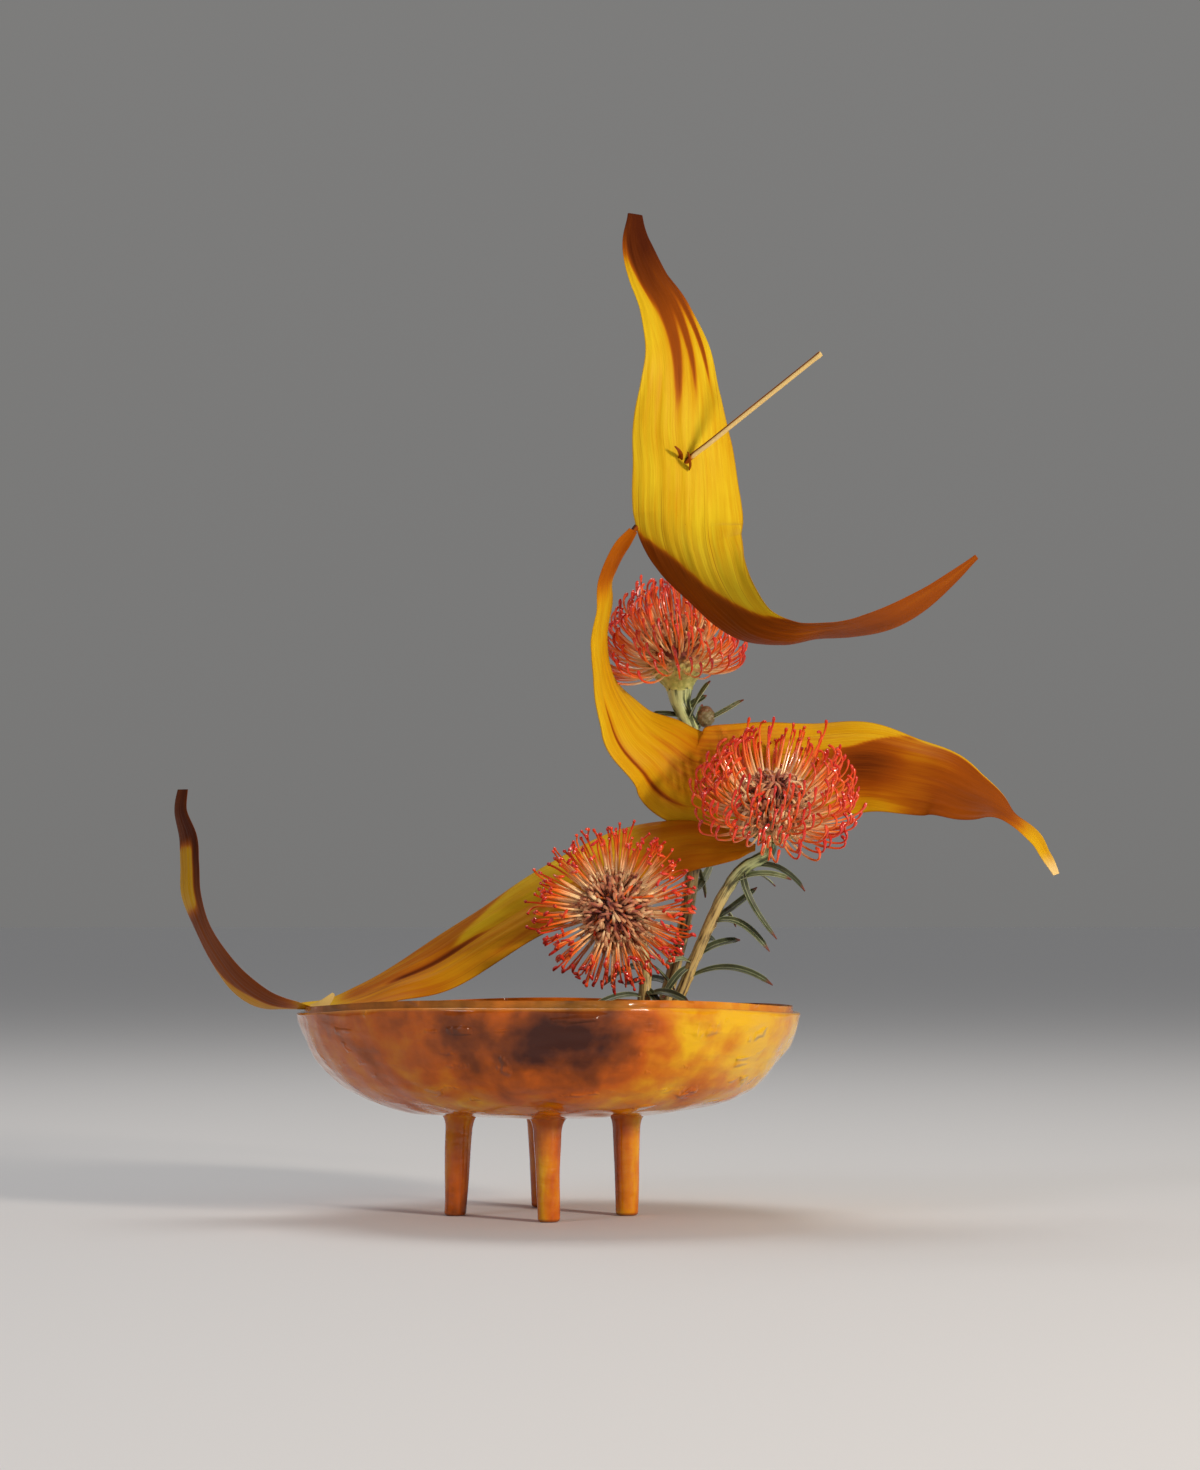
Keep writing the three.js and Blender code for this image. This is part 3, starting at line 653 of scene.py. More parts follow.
# %% [markdown]
# ## The water
# The water fills the bowl to well below the lip. Its top is flat but climbs a little where it meets
# the glaze, which is how the eye knows it for water. It is a turned profile: the bowl's inside with a
# small gap, then the climbing edge, then the flat top. It is mostly see-through, with a sharp gloss.

# %% The water's body
WATER_GAP = 0.6
CLIMB, CLIMB_REACH = 0.9, 8


def water_edge(angle):
    """The radius where the lifted wall crosses the water's level, found by undoing the lift."""
    span = LIP_HEIGHT - FLOOR
    rise = lip_rise(angle)
    flat_height = (WATER_LEVEL - SEAT_GAP + rise * FLOOR / span) / (1 + rise / span)
    radii = wall_radii(INNER_RADIUS, 400)
    return np.interp(flat_height, inside_height(radii), radii) - WATER_GAP


def water_body():
    """The wall's curve up to the edge, a climb of the cube of the way in, then flat to the middle."""
    angle = around(192)
    edge = water_edge(angle)
    share = wall_radii(1.0, 40)[:, None]
    wall = hand_formed(upright(edge * share, inside_height(edge * share) + SEAT_GAP, angle))
    inwards = np.append(np.linspace(0, CLIMB_REACH, 9), np.linspace(20, 130, 9))[:, None]
    climb = CLIMB * np.clip(1 - inwards / CLIMB_REACH, 0, 1) ** 3
    swell = 1 + LIP_SWELL * np.sin(3 * angle + 1)
    top = upright((edge - 0.3 - inwards) * swell, WATER_LEVEL + climb + 0 * edge, angle)
    return tubes(np.concatenate([wall, top])[None])


def clear_water():
    water = Finish("clear_water", Alpha=0.2, Roughness=0.02, Base_Color=tints("1d2622")[0], IOR=1.33)
    water.bump(water.noise(water.place(), 26, 1), 0.5, 0.25)
    return water


new_piece("water_still", water_body(), clear_water(), "water", "water")

# %% [markdown]
# ## Strap leaves
# Each golden leaf is a preserved strap, as thin as card, which dried in the sweep that it was bent to.
# A plane bent by modifiers would not hold such a twist. So a leaf is a ribbon along a curve: at each
# station stand its place, its width, how far it is turned round its own line, and how deep it is
# cupped. Turn 0 shows the face to the front, 90 shows the edge. The pleats, creases and wavy margins
# are added along the ribbon's own facing direction, so they follow every twist.

# %% Stations of the three leaves: x, y, z, width, turn, cup
UPPER_LEAF = [
    (51, -8, 586, 8, 21, 0), (52, -16, 568, 18, 20, 1), (59, -24, 548, 28, 33, 2),
    (70, -31, 527, 38, 34, 3), (77, -37, 502, 46, 32, 4), (79, -42, 478, 54, 23, 5),
    (79, -46, 454, 60, 16, 6), (81, -50, 431, 64, 16, 6), (81, -54, 407, 63.5, 4, 7),
    (81, -56, 396, 60.5, -8, 8), (83, -58, 384, 56, -22, 8), (90, -61, 366, 52, -45, 7),
    (103, -62, 349, 58, -64, 5), (118, -61, 337, 58, -72, 4), (138, -58, 333, 52, -76, 3),
    (157, -54, 336, 46, -82, 1.5), (177, -50, 339, 40, -78, 1.5), (197, -47, 345, 30, -66, 1),
    (216, -45, 356, 20, -56, 0), (233, -45, 369, 12, -54, 0), (247, -46, 381, 3, -46, 0),
]
MIDDLE_LEAF = [
    (49, -46, 396, 5, 38, 0), (41, -43, 385, 18, 65, 0), (35, -36, 369, 32, 74, 1),
    (34, -29, 354, 42, 80, 1), (32, -20, 337, 50, 78, 2), (33, -13, 323, 54, 76, 3),
    (37, -8, 308, 56, 72, 4), (44, -4, 294, 56, 63, 4), (53, -1, 280, 57, 49, 4),
    (66, 2, 269, 58, 34, 2), (81, 6, 257, 58, 4, 2), (101, 9, 254, 66, -2, 2),
    (128, 13, 257, 64, 4, 2), (157, 14, 260, 60, 16, 3), (187, 10, 262, 56, 14, 4),
    (210, 3, 258, 50, 20, 4), (230, -5, 253, 46, 26, 3), (244, -11, 246, 40, 36, 2),
    (260, -17, 239, 32, 54, 2), (270, -21, 231, 24, 70, 1), (284, -25, 219, 18, 55, 1),
    (289, -28, 209, 14, 55, 0), (294, -30, 198, 4, 40, 0),
]
LOWER_LEAF = [
    (-214, 2, 248, 12, 122, 0), (-216, 1, 235, 24, 112, -1), (-212, 0, 219, 34, 114, -2),
    (-211, -1, 204, 40, 110, -2), (-210, -3, 187, 42, 110, -2), (-204, -4, 169, 44, 107, -2),
    (-195, -5, 152, 46, 109, -2), (-181, -6, 134, 46, 109, -2), (-164, -6, 123, 44, 105, -3),
    (-144, -6, 120.1, 42, 91, -4), (-127, -6, 121.5, 42, 81, -2), (-108, -6, 128, 42, 72, 0),
    (-88, -6, 137, 43, 62, 2), (-65, -6, 147, 44, 46, 3), (-40, -6, 163, 45, 44, 3),
    (-12, -6, 180, 46, 42, 3), (21, -6, 197, 46, 36, 3), (53, -7, 210, 44, 32, 2),
    (79, -9, 216, 38, 33, 2), (97, -10, 216, 30, 40, 1), (112, -10, 215, 19, 44, 1),
    (121, -10, 214, 4, 47, 0),
]
STALK = [
    (48, -45, 395), (57, -42, 405), (68, -42, 420), (80, -50, 436),
    (92, -58, 445), (121, -74, 467), (154, -92, 492),
]

# %% [markdown]
# A leaf's small forms are written as bumps on its own map: u runs across it and s counts the stations
# along it. A ridge has a sharp top that falls off on both sides, as a crease does, and a pleat is a
# wave across the leaf whose height swells and fades along it.

# %% A ribbon leaf
BLADE = 0.9
EASE = np.linspace(-0.02, 0.02, 7)  # shares of the leaf over which width and turn are averaged


def ridge(value, middle, reach):
    """A fold in profile: 1 at the middle and falling in a bent line to 0 at reach on both sides."""
    return np.clip(1 - abs(value - middle) / reach, 0, 1) ** 1.5


def blade(stations, relief, age, rows=300, columns=56):
    """A closed ribbon: place + across times half the width + facing times what lifts it.

    Across is the inward direction turned about the line, facing stands on both. Cup bends both
    margins back by the square of the way out, and relief(u, s, place) adds the small forms."""
    stations = np.array(stations, float)
    v = np.linspace(0, 1, rows)
    place, slope = curve_through(stations[:, :3], v)
    shapes = sum(curve_through(stations[:, 3:], np.clip(v + step, 0, 1))[0] for step in EASE) / len(EASE)
    width, turn, cup = shapes.T[:, :, None, None]
    tangent = unit(slope)
    inward = unit(np.stack([-tangent[:, 2], 0 * v, tangent[:, 0]], -1))
    back = np.cross(inward, tangent)[:, None]
    turn = np.radians(turn)
    across = np.cos(turn) * inward[:, None] + np.sin(turn) * back
    facing = np.cross(tangent[:, None], across)
    u = np.linspace(0, 1, columns)
    offset = (2 * u - 1)[None, :, None]
    flat = place[:, None] + across * offset * width / 2
    s = (v * (len(stations) - 1))[:, None]
    flat = flat + facing * (relief(u[None], s, flat)[..., None] - cup * offset**2)
    half = BLADE / 2 * (1 - 0.65 * abs(offset) ** 12)
    run = np.append(0, np.cumsum(np.linalg.norm(np.diff(place, axis=0), axis=1)))
    both = there_and_back(u)
    side = np.repeat([0.0, 1.0], columns)
    marks = {"across": both, "along": run[:, None], "back": side, "broad": width[:, 0] / 60}
    return tubes(two_faces(flat, facing * half)[None], age=age(both[None], s), **marks)


def veins(u, s, number, seed):
    """Uneven parallel veins: six sines across the leaf, whose phases wander along it."""
    draw = np.random.default_rng(seed)
    across = 2 * np.pi * number * draw.uniform(0.55, 1.8, 6) * u[..., None]
    wander = draw.uniform(0.3, 1.4, 6) * np.sin(draw.uniform(0.12, 0.4, 6) * s[..., None])
    return np.sin(across + draw.uniform(0, 6.28, 6) + wander).sum(-1) / 2.4


def forms(u, s, place, veining, wave, folds):
    """Coarse and fine veins, wavy margins, and folds.

    A fold is a ridge across the leaf, inside a window along it."""
    coarse, fine, seed = veining
    depth, length, wave_seed = wave
    lift = coarse * veins(u, s, 6, seed) + fine * veins(u, s, 12, seed + 1)
    lift = lift + depth * waves(place, length, wave_seed) * abs(2 * u - 1) ** 2
    for height, middle, reach, *along in folds:
        lift = lift + height * ridge(u, middle, reach) * window(s, *along)
    return lift


def upper_relief(u, s, place):
    """A fold where the leaf turns under, and a rolled right margin."""
    folds = [(1.8, 0.5, 0.55, 8, 10.5, 14, 17)]
    roll = -1.6 * smooth(u, 0.88, 1.0) * window(s, 3.6, 5.2, 7.2, 10)
    return forms(u, s, place, (0.15, 0.05, 1), (1.5, 55, 31), folds) * window(s, 0, 2, 12.5, 17) + roll


def middle_relief(u, s, place):
    """A crease along the outer margin, and a lit fold along the upper one."""
    folds = [(-1.7, 0.2, 0.14, 5.2, 7, 9.5, 11), (2.6, 0.76, 0.3, 12, 13.5, 15.5, 17.5)]
    return forms(u, s, place, (0.12, 0.04, 3), (1.2, 60, 32), folds) * window(s, 0.3, 2.5, 20, 22)


def lower_relief(u, s, place):
    """Two long creases over the bowl, and a blade that lies flat where it crosses the rim."""
    folds = [(-2.2, 0.52, 0.16, 10.8, 12.5, 15.5, 17), (1.4, 0.26, 0.2, 11, 12, 14, 16)]
    whole = window(s, 0.2, 2, 19, 21) * (1 - ridge(s, 9, 1.6) * 0.9)
    return forms(u, s, place, (0.14, 0.05, 5), (1.3, 50, 33), folds) * whole


# %% Where the leaves have turned brown, and where shade and light are painted on them
def upper_age_and_shade(u, s):
    """Brown from the top but for the left margin, with three tongues down it, and painted shade below,
    where the leaf turns under.
    """
    tongues = 2.5 * bell(u, 0.42, 0.085) + 2 * bell(u, 0.63, 0.06) + 1.7 * bell(u, 0.84, 0.05)
    reach = 0.7 + 1.8 * smooth(u, 0.08, 0.3) + tongues
    # Painted shade where the leaf turns under and faces away from the light, beyond a diagonal across it.
    turned_under_shade = smooth(s - 4.8 * u, 8.3, 9.1) * (0.78 - 0.14 * smooth(s, 12, 14.5))
    top = (1 - smooth(s - reach, -0.4, 1.7)) * (1 - 0.3 * smooth(s, 0.8, 3.6))
    return top + turned_under_shade


def middle_age_and_shade(u, s):
    """Painted shade in the crease and under the far end's fold, whose corner and margin stay pale as
    painted light, the heads' painted shadow, and darker at the stem end.
    """
    # Painted shade in the crease along the outer margin.
    crease = 0.55 * ridge(u, 0.2, 0.045) * window(s, 5.5, 7, 9.5, 10.5)
    # Under the far end's fold the leaf faces down, so it is painted darker there, most near its middle:
    # painted shade. The lit corner and the rim are kept pale as painted light.
    fold = u - 0.7 - 0.3 * smooth(s, 13.6, 15.0)
    under_fold = (1 - smooth(fold, -0.02, 0.02)) * window(s, 12.6, 13.8, 18.6, 20)
    deep = bell(s, 14, 0.9) * bell(u, 0.52, 0.22)
    lit_corner = (1 - smooth(u, 0.02, 0.3)) * window(s, 12.5, 13.5, 14.2, 15.6)
    # Painted shadow of the heads on the leaf behind them.
    behind = 0.16 * smooth(u, 0.1, 0.6) * window(s, 8, 10, 11, 13.5)
    stem_end = 0.4 * (1 - smooth(s, 1.5, 3.5))
    pale_rim = smooth(u, 0.95, 0.985) * smooth(s, 14.6, 15.4)
    brown = 0.2 + 0.4 * deep - 0.2 * lit_corner + 0.2 * smooth(s, 14.8, 16.8) - 0.4 * pale_rim
    return 0.16 + 0.12 * smooth(s, 6.5, 8.5) + crease + under_fold * brown + behind + stem_end


def lower_age_and_shade(u, s):
    """Dark at the blunt end, partly its own brown and partly painted shade, with two pale places of
    painted light; red-brown over most of the leaf, partly rust and partly painted shade; painted shade in
    the crease; and yellow in a wedge along its top, as painted light.
    """
    # Two places on the blunt end are kept paler: painted light on the faces that the light reaches.
    patch = smooth(u, 0.14, 0.28) * window(s, 1.9, 2.6, 4.2, 4.9)
    lit_strip = smooth(u + 0.4 * smooth(s, 6.0, 8.0), 0.74, 0.9) * smooth(s, 5.6, 6.6)
    # The blunt end's darkness is partly the leaf's own brown and partly painted shade.
    curl = (0.95 - 0.17 * smooth(s, 3, 6)) * (1 - smooth(s, 8.0, 9.8)) * (1 - 0.85 * patch - 0.6 * lit_strip)
    # Over the bowl the leaf is red-brown: partly its own rust colour, partly painted shade.
    over_bowl_rust_and_shade = 0.46 * smooth(s, 9, 11)
    # Painted shade in the crease.
    crease = 0.6 * ridge(u, 0.54, 0.06) * window(s, 11.6, 12.2, 13.6, 14.4)
    # The wedge above the crease, and a little the lower face, are kept yellow: painted light on facets
    # that face the light.
    above = smooth(u, 0.5, 0.56) * (1 - smooth(u - 0.24 * (s - 13.4), 0.52, 0.66))
    wedge = above * window(s, 13.2, 13.8, 16.6, 17.4)
    lit_low_face = (1 - smooth(u, 0.48, 0.54)) * window(s, 12.4, 13.4, 16, 17.5)
    return curl + over_bowl_rust_and_shade + crease - 0.3 * wedge - 0.06 * lit_low_face


leaf_upper = blade(UPPER_LEAF, upper_relief, upper_age_and_shade)
leaf_middle = blade(MIDDLE_LEAF, middle_relief, middle_age_and_shade)
leaf_lower = blade(LOWER_LEAF, lower_relief, lower_age_and_shade)
print("leaf blades:", len(leaf_upper.points), "points each")

# %% [markdown]
# The middle leaf keeps its long stalk, which is threaded through a slit in the upper leaf and sticks
# out at the front. A leaf stalk is channelled, so its section is flatter on one side, and it ends in a
# clean cut. The slit left two small torn tongues round the stalk, and a tongue is torn up from the
# lower leaf's margin where it lies over the rim. A tongue is a short ribbon that narrows to nothing.

# %% The stalk and the torn tongues
CHANNEL_SIDE = 2.7  # radians round the stalk


def stalk(rings=90, sides=16):
    """A tube pressed in on one side: its radius is less by a bump round one angle."""
    share = np.linspace(0, 1, rings)
    path = evenly(STALK, share)[None]
    size = np.interp(share, [0, 0.02, 0.3, 0.97, 0.985, 1], [1.2, 1.9, 1.7, 1.65, 1.9, 1.7])[None]
    grid = ringed(path, np.array([0.0, 1.0, 0.0]), size, sides=sides)
    angle = around(sides)
    channel = 1 - 0.42 * bell(angle, CHANNEL_SIDE, 0.5)
    grid = path[:, :, None] + (grid - path[:, :, None]) * channel[:, None]
    across = 0.1 + 0.8 * angle / (2 * np.pi)
    # The channel side is painted dark, as painted shade in the groove, and the stalk is darker still up
    # to the slit.
    dark = 0.1 + 0.8 * bell(angle, CHANNEL_SIDE, 0.7) + 0.6 * (1 - smooth(share, 0.34, 0.4))[:, None]
    return tubes(grid, across=across, along=share[:, None] * 160, age=dark, back=0.0, broad=0.1)


def tongue(root, bend, tip, width, facing, age):
    """A small ribbon on a quadratic curve whose width falls off with the square root."""
    t = np.linspace(0, 1, 14)[:, None]
    path = (1 - t) ** 2 * np.array(root) + 2 * t * (1 - t) * np.array(bend) + t**2 * np.array(tip)
    tangent = unit(np.gradient(path, axis=0))
    across = unit(np.cross(np.array(facing, float), tangent))
    body = np.cross(tangent, across)[:, None] * 0.3
    u = np.linspace(0, 1, 7)
    spread = (2 * u - 1)[None, :, None] * width / 2 * np.sqrt(1 - t * 0.97)[:, None]
    ring = two_faces(path[:, None] + across[:, None] * spread, body)
    return tubes(ring[None], across=there_and_back(u), along=t * 12, back=0.0, broad=0.15, age=age)


slit_left = tongue((76, -50.5, 437), (77, -56, 440), (72.5, -56, 443.5), 3, (0, -1, 0.3), 0.75)
slit_low = tongue((81.5, -51.5, 431), (82, -56, 434), (80, -58, 440), 3, (1, -0.6, 0), 0.75)
rim_flap = tongue((-137, -26, 119.2), (-129, -30, 121.5), (-123.5, -29, 129.5), 9, (0, -1, 0.6), 0.0)

# %% [markdown]
# The leaves' finish follows the leaf's own map. Fibres are noise squeezed across the blade and drawn out
# along it, and the same fibres break the edge of every brown patch into streaks. One mark says both where
# the leaf has turned brown and where shade and light are painted on it: painted shade in creases, under
# folds, where a leaf turns under, in the heads' shadow and in the stalk's channel, and painted light on
# lit facets; the shader only decides where exactly each streak ends.

# %% The golden leaf
LEAF_OCHRE, LEAF_GOLD, LEAF_YELLOW, LEAF_CREAM = tints("ac6c06 cb970c dcbf22 ead09a")
LEAF_ORANGE, LEAF_RUST, LEAF_BROWN, LEAF_EDGE = tints("bc6c06 904404 4a1a02 6b3208")


def golden_leaf():
    leaf = Finish("golden_leaf", Specular_IOR_Level=0.07)
    across, along, back, age, broad = leaf.marks("across along back age broad")
    calm = leaf.smooth(broad, 0.3, 1.0)
    span = (across - 0.5) * broad
    cloud = leaf.noise((across * 2.2, along * 0.016, back * 9), 1.0, 3) - 0.5
    streak = (leaf.noise((span * 15, along * 0.011, back * 5), 1.0, 2, 0.6) - 0.5) * calm
    fibre = (leaf.noise((span * 75, along * 0.03, back * 5), 1.0, 2, 0.6) - 0.5) * calm
    fleck = leaf.noise((span * 60, along * 0.45, back * 3), 0.35, 2, 0.7)
    # The back face is a little darker: partly its own ochre, partly painted shade.
    tone = 0.62 + cloud * 0.5 + streak * 0.4 + fibre * 0.3 - back * 0.12 - age * 0.35
    fresh = leaf.ramp(tone, (0.24, LEAF_OCHRE), (0.5, LEAF_GOLD), (0.78, LEAF_YELLOW))
    # The darker ramp comes in where the leaf has turned brown and also where shade is painted.
    aged_and_shaded = age + streak * 0.5 + cloud * 0.35
    browned_and_shaded = leaf.smooth(aged_and_shaded, 0.26, 0.52)
    dried_and_shaded = age + streak * 0.25 + cloud * 0.35 + fibre * 0.25
    dry_and_shade = leaf.ramp(dried_and_shaded, (0.36, LEAF_ORANGE), (0.62, LEAF_RUST), (1.0, LEAF_BROWN))
    line = leaf.noise((span * 70, along * 0.006, back * 5), 1.0, 1)
    lined = leaf.smooth(line, 0.66, 0.74) * calm * 0.6
    margin = leaf.smooth(abs(across - 0.5), 0.484, 0.498)
    speck = leaf.smooth(fleck, 0.72, 0.8) * calm * 0.4
    # Cream on the stalk and the narrowest ends, away from the dark channel: painted light on their lit
    # side.
    stalky = (1 - leaf.smooth(broad, 0.1, 0.25)) * (1 - leaf.smooth(age, 0.25, 0.5)) * 0.65
    skin = leaf.mix(speck + lined, leaf.mix(browned_and_shaded, fresh, dry_and_shade), LEAF_RUST)
    skin = leaf.mix(margin * calm * 0.5, skin, LEAF_EDGE)
    skin = leaf.mix(stalky, skin, LEAF_CREAM)
    leaf.set(Base_Color=skin, Roughness=0.48 + fibre * 0.2 + browned_and_shaded * 0.06)
    leaf.bump(fibre * 0.6 + streak * 0.5, 0.4, 0.7)
    return leaf


leaf_finish = golden_leaf()
upper_parts = joined(leaf_upper, slit_left, slit_low)
new_piece("strap_leaf_upper", upper_parts, leaf_finish, "golden_leaf", "leaf_upper")
new_piece("strap_leaf_middle", joined(leaf_middle, stalk()), leaf_finish, "golden_leaf", "leaf_middle")
new_piece("strap_leaf_lower", joined(leaf_lower, rim_flap), leaf_finish, "golden_leaf", "leaf_lower")

# %% [markdown]
# ## Leafy stems
# A protea's stem is woody, streaked grey-green and brown, and a little swollen where each leaf stands.
# Its leaves are narrow and stiff, folded along the midrib, with a blunt red tip. The stem is a tube
# whose radius gets a bump at each leaf. The leaves of a stem are made all at once: each is a quadratic
# curve from the stem's middle through a bend to its tip, given as steps from where it starts.

# %% Where the leaves stand: share of the stem's length, bend, tip
STEM_LEAVES = {
    "high": [
        (0.9, (4, -4, 13), (12, -8, 26)), (0.94, (6, 3, 5), (14, 5, 10)),
        (0.89, (16, -3, 8), (31, -7, 17)), (0.92, (-9, 2, 2), (-21, 4, 3)),
        (0.88, (4, 12, 6), (7, 24, 18)), (0.55, (4, 9, -6), (8, 17, -20)),
        (0.52, (6, 3, 10), (16, 9, 26)), (0.47, (8, 10, 8), (14, 25, 20)),
        (0.3, (-6, 12, 6), (-14, 26, 12)), (0.24, (-10, 10, 4), (-26, 22, 0)),
    ],
    "middle": [
        (0.82, (20, 4, 2), (38, 8, -12)), (0.74, (17, -4, 8), (37, -6, 5)),
        (0.6, (15, 5, 10), (28, 8, 21)), (0.84, (2, -5, -18), (18, -9, -42)),
        (0.59, (17, -3, 2), (35, -8, -15)), (0.46, (12, 3, 8), (27, 6, 11)),
        (0.38, (25, -4, 7), (50, -10, -3)), (0.44, (-8, -5, 3), (-16, -12, 0)),
        (0.43, (-8, -4, -5), (-17, -8, -18)), (0.28, (7, -5, -3), (15, -11, -14)),
        (0.64, (6, 16, 2), (14, 34, -8)), (0.5, (6, 16, 6), (12, 32, 2)),
        (0.78, (12, 14, 4), (26, 28, -4)),
    ],
    "low": [
        (0.42, (11, -10, 4), (26, -20, -2)), (0.48, (7, -8, -8), (14, -14, -22)),
        (0.56, (-10, 8, 2), (-24, 14, -8)), (0.42, (-12, -4, 2), (-30, -10, -4)),
        (0.6, (8, 9, -4), (18, 14, -16)),
    ],
}


# %% Stems and their leaves
SLIM, SCAR, LEAF_FOOT, STEM_SIDES = 0.88, 0.5, 2.4, 32


def stem_tube(bloom, leaves, seed):
    """A tube between the frame's radii; towards each leaf it swells by a bell curve round its foot."""
    share = np.linspace(0, 1, 190)
    path = evenly(stem_route(bloom), share)
    radius = np.interp(share, [0, 0.5, 1], bloom["radii"]) * SLIM
    radius = radius + bloom["flare"] * smooth(share, 0.93, 1.02)
    grid = ringed(path[None], np.array([1.0, 0.0, 0.0]), radius[None], sides=STEM_SIDES)[0]
    foot = evenly(stem_route(bloom), [at for at, _, _ in leaves])
    foot = foot + unit(np.array([bend for _, bend, _ in leaves], float)) * radius.mean()
    distance = np.linalg.norm(grid[:, :, None] - foot, axis=-1)
    swell = SCAR * bell(distance, 0, LEAF_FOOT).sum(-1)[..., None]
    ribs = 0.1 * waves(grid * [1, 1, 0.05], 4, seed)[..., None]
    away = unit(grid - path[:, None])
    angle = around(STEM_SIDES)
    marks = {"across": 0.5 + 0.5 * np.cos(angle), "draw": 0.5 + 0.5 * np.sin(angle)}
    return tubes((grid + away * (swell + ribs))[None], along=share[:, None], kind=0.0, **marks)


def narrow_leaves(bloom, leaves, seed, rings=22, columns=7):
    """Folded blades: half the width is a sine of a power of the way along, tapered to a blunt tip.

    The blade's width lies level, rolled towards the front by a drawn angle, and its two halves stand
    up from the midrib like a shallow V."""
    draw = np.random.default_rng(seed)
    each = (len(leaves), 1, 1)
    root = evenly(stem_route(bloom), [at for at, _, _ in leaves])[:, None]
    bend, tip = (np.array([leaf[k] for leaf in leaves], float)[:, None] for k in (1, 2))
    t = np.linspace(0, 1, rings)[None, :, None]
    path = root + (4 * bend - tip) * t * (1 - t) + tip * t**2
    tangent = unit(np.gradient(path, axis=1))
    level = unit(np.cross([0.0, 0.0, 1.0], tangent) + 1e-6)
    up = np.cross(tangent, level)
    toward = np.where(tip[..., :1] > 0, 1.0, -1.0)
    roll = toward * (0.5 + 0.5 * t) * draw.uniform(0.5, 1.15, each)
    wide, thick = level * np.cos(roll) + up * np.sin(roll), up * np.cos(roll) - level * np.sin(roll)
    half = 2.7 * (0.42 + 0.58 * np.sin(np.pi * t**0.9) ** 0.6) * (1 - 0.75 * smooth(t, 0.9, 1.0))
    half = half * draw.uniform(0.82, 1.08, each)
    u = np.linspace(-1, 1, columns)
    flat = path[:, :, None] + (wide * half)[:, :, None] * u[:, None]
    flat = flat + (thick * half)[:, :, None] * 0.34 * abs(u[:, None])
    body = (0.42 * (1 - 0.5 * u**2))[:, None] * thick[:, :, None]
    across = there_and_back(u) / 2 + 0.5
    shade = draw.uniform(0, 1, each)
    return tubes(two_faces(flat, body), along=t, across=across, kind=1.0, draw=shade)


def side_bud(bloom, at, offset, radius, length):
    """An egg of scales: its radius is a half sine, raised where two sets of spirals meet."""
    centre = evenly(stem_route(bloom), [at])[0] + offset
    level = np.linspace(0.04, np.pi - 0.04, 40)[:, None]
    angle = around(48)
    scales = abs(np.sin(3 * angle + 4 * level)) * abs(np.sin(3 * angle - 4 * level))
    size = radius * np.sin(level) * (0.9 + 0.16 * scales)
    egg = upright(size, -np.cos(level) * length / 2 + 0 * angle, angle)
    return tubes((egg + centre)[None], along=level / np.pi, across=0.5, kind=2.0, draw=0.3)


# %% [markdown]
# One finish serves the stems, their leaves and the bud, because the colours run into each other. The
# kind mark tells them apart. Stems are streaked along their length, pale green near the heads and
# browner below, and leaves are dull green with a paler midrib and rim and a red tip.

# %% The green stem
STEM_PALE, STEM_GREEN, STEM_BROWN, STEM_STRAW = tints("bcc68a 3c4822 4e3820 bfa668")
BLADE_DARK, BLADE_GREEN, BLADE_PALE, TIP_RED, BUD_GREY = tints("262c17 4b5535 98a17c 6c3222 726844")
# The narrow blades' greens are dull olive, set a little darker than their own colour as painted shade.


def green_stem():
    stem = Finish("green_stem", Coat_Weight=0.1, Coat_Roughness=0.4)
    along, across, kind, shade = stem.marks("along across kind draw")
    streak = stem.noise((across * 5, shade * 5, along * 7 + kind * 3), 1.0, 3, 0.6)
    patch = stem.noise(stem.place(), 110, 3, 0.6)
    bark = 0.5 + (streak - 0.5) * 2.1 + (patch - 0.5) * 0.9
    old = stem.ramp(bark, (0.3, STEM_BROWN), (0.62, STEM_STRAW))
    young = stem.ramp(bark, (0.32, STEM_GREEN), (0.64, STEM_PALE))
    wood = stem.mix(stem.smooth(along, 0.62, 0.88), old, young)
    rib = 1 - stem.smooth(abs(across - 0.5), 0.02, 0.09)
    rim = stem.smooth(abs(across - 0.5), 0.4, 0.47)
    tone = shade * 0.75 + (patch - 0.5) * 0.8 + rib * 0.5 + rim * 0.55
    green = stem.ramp(tone, (0.15, BLADE_DARK), (0.55, BLADE_GREEN), (1.0, BLADE_PALE))
    red = stem.smooth(along, 0.9, 0.97)
    narrow = stem.mix(red, green, TIP_RED)
    bud = stem.ramp(patch * 0.6 + streak * 0.5, (0.35, TIP_RED), (0.65, BUD_GREY))
    is_leaf = stem.smooth(kind, 0.4, 0.6)
    is_bud = stem.smooth(kind, 1.4, 1.6)
    colour = stem.mix(is_bud, stem.mix(is_leaf, wood, narrow), bud)
    stem.set(Base_Color=colour, Roughness=0.5 + (patch - 0.5) * 0.3)
    stem.bump(streak + patch * 0.6, 0.3, 0.6)
    return stem


stem_finish = green_stem()
BUD = {"at": 0.9, "offset": (9.5, -3, 5), "radius": 5.2, "length": 13}
for number, (name, bloom) in enumerate(BLOOMS.items()):
    leaves = STEM_LEAVES[name]
    shapes = [stem_tube(bloom, leaves, number), narrow_leaves(bloom, leaves, number + 5)]
    if name == "high":
        shapes.append(side_bud(bloom, **BUD))
    new_piece(f"leafy_stem_{name}", joined(*shapes), stem_finish, "green_stem", f"stem_{name}")

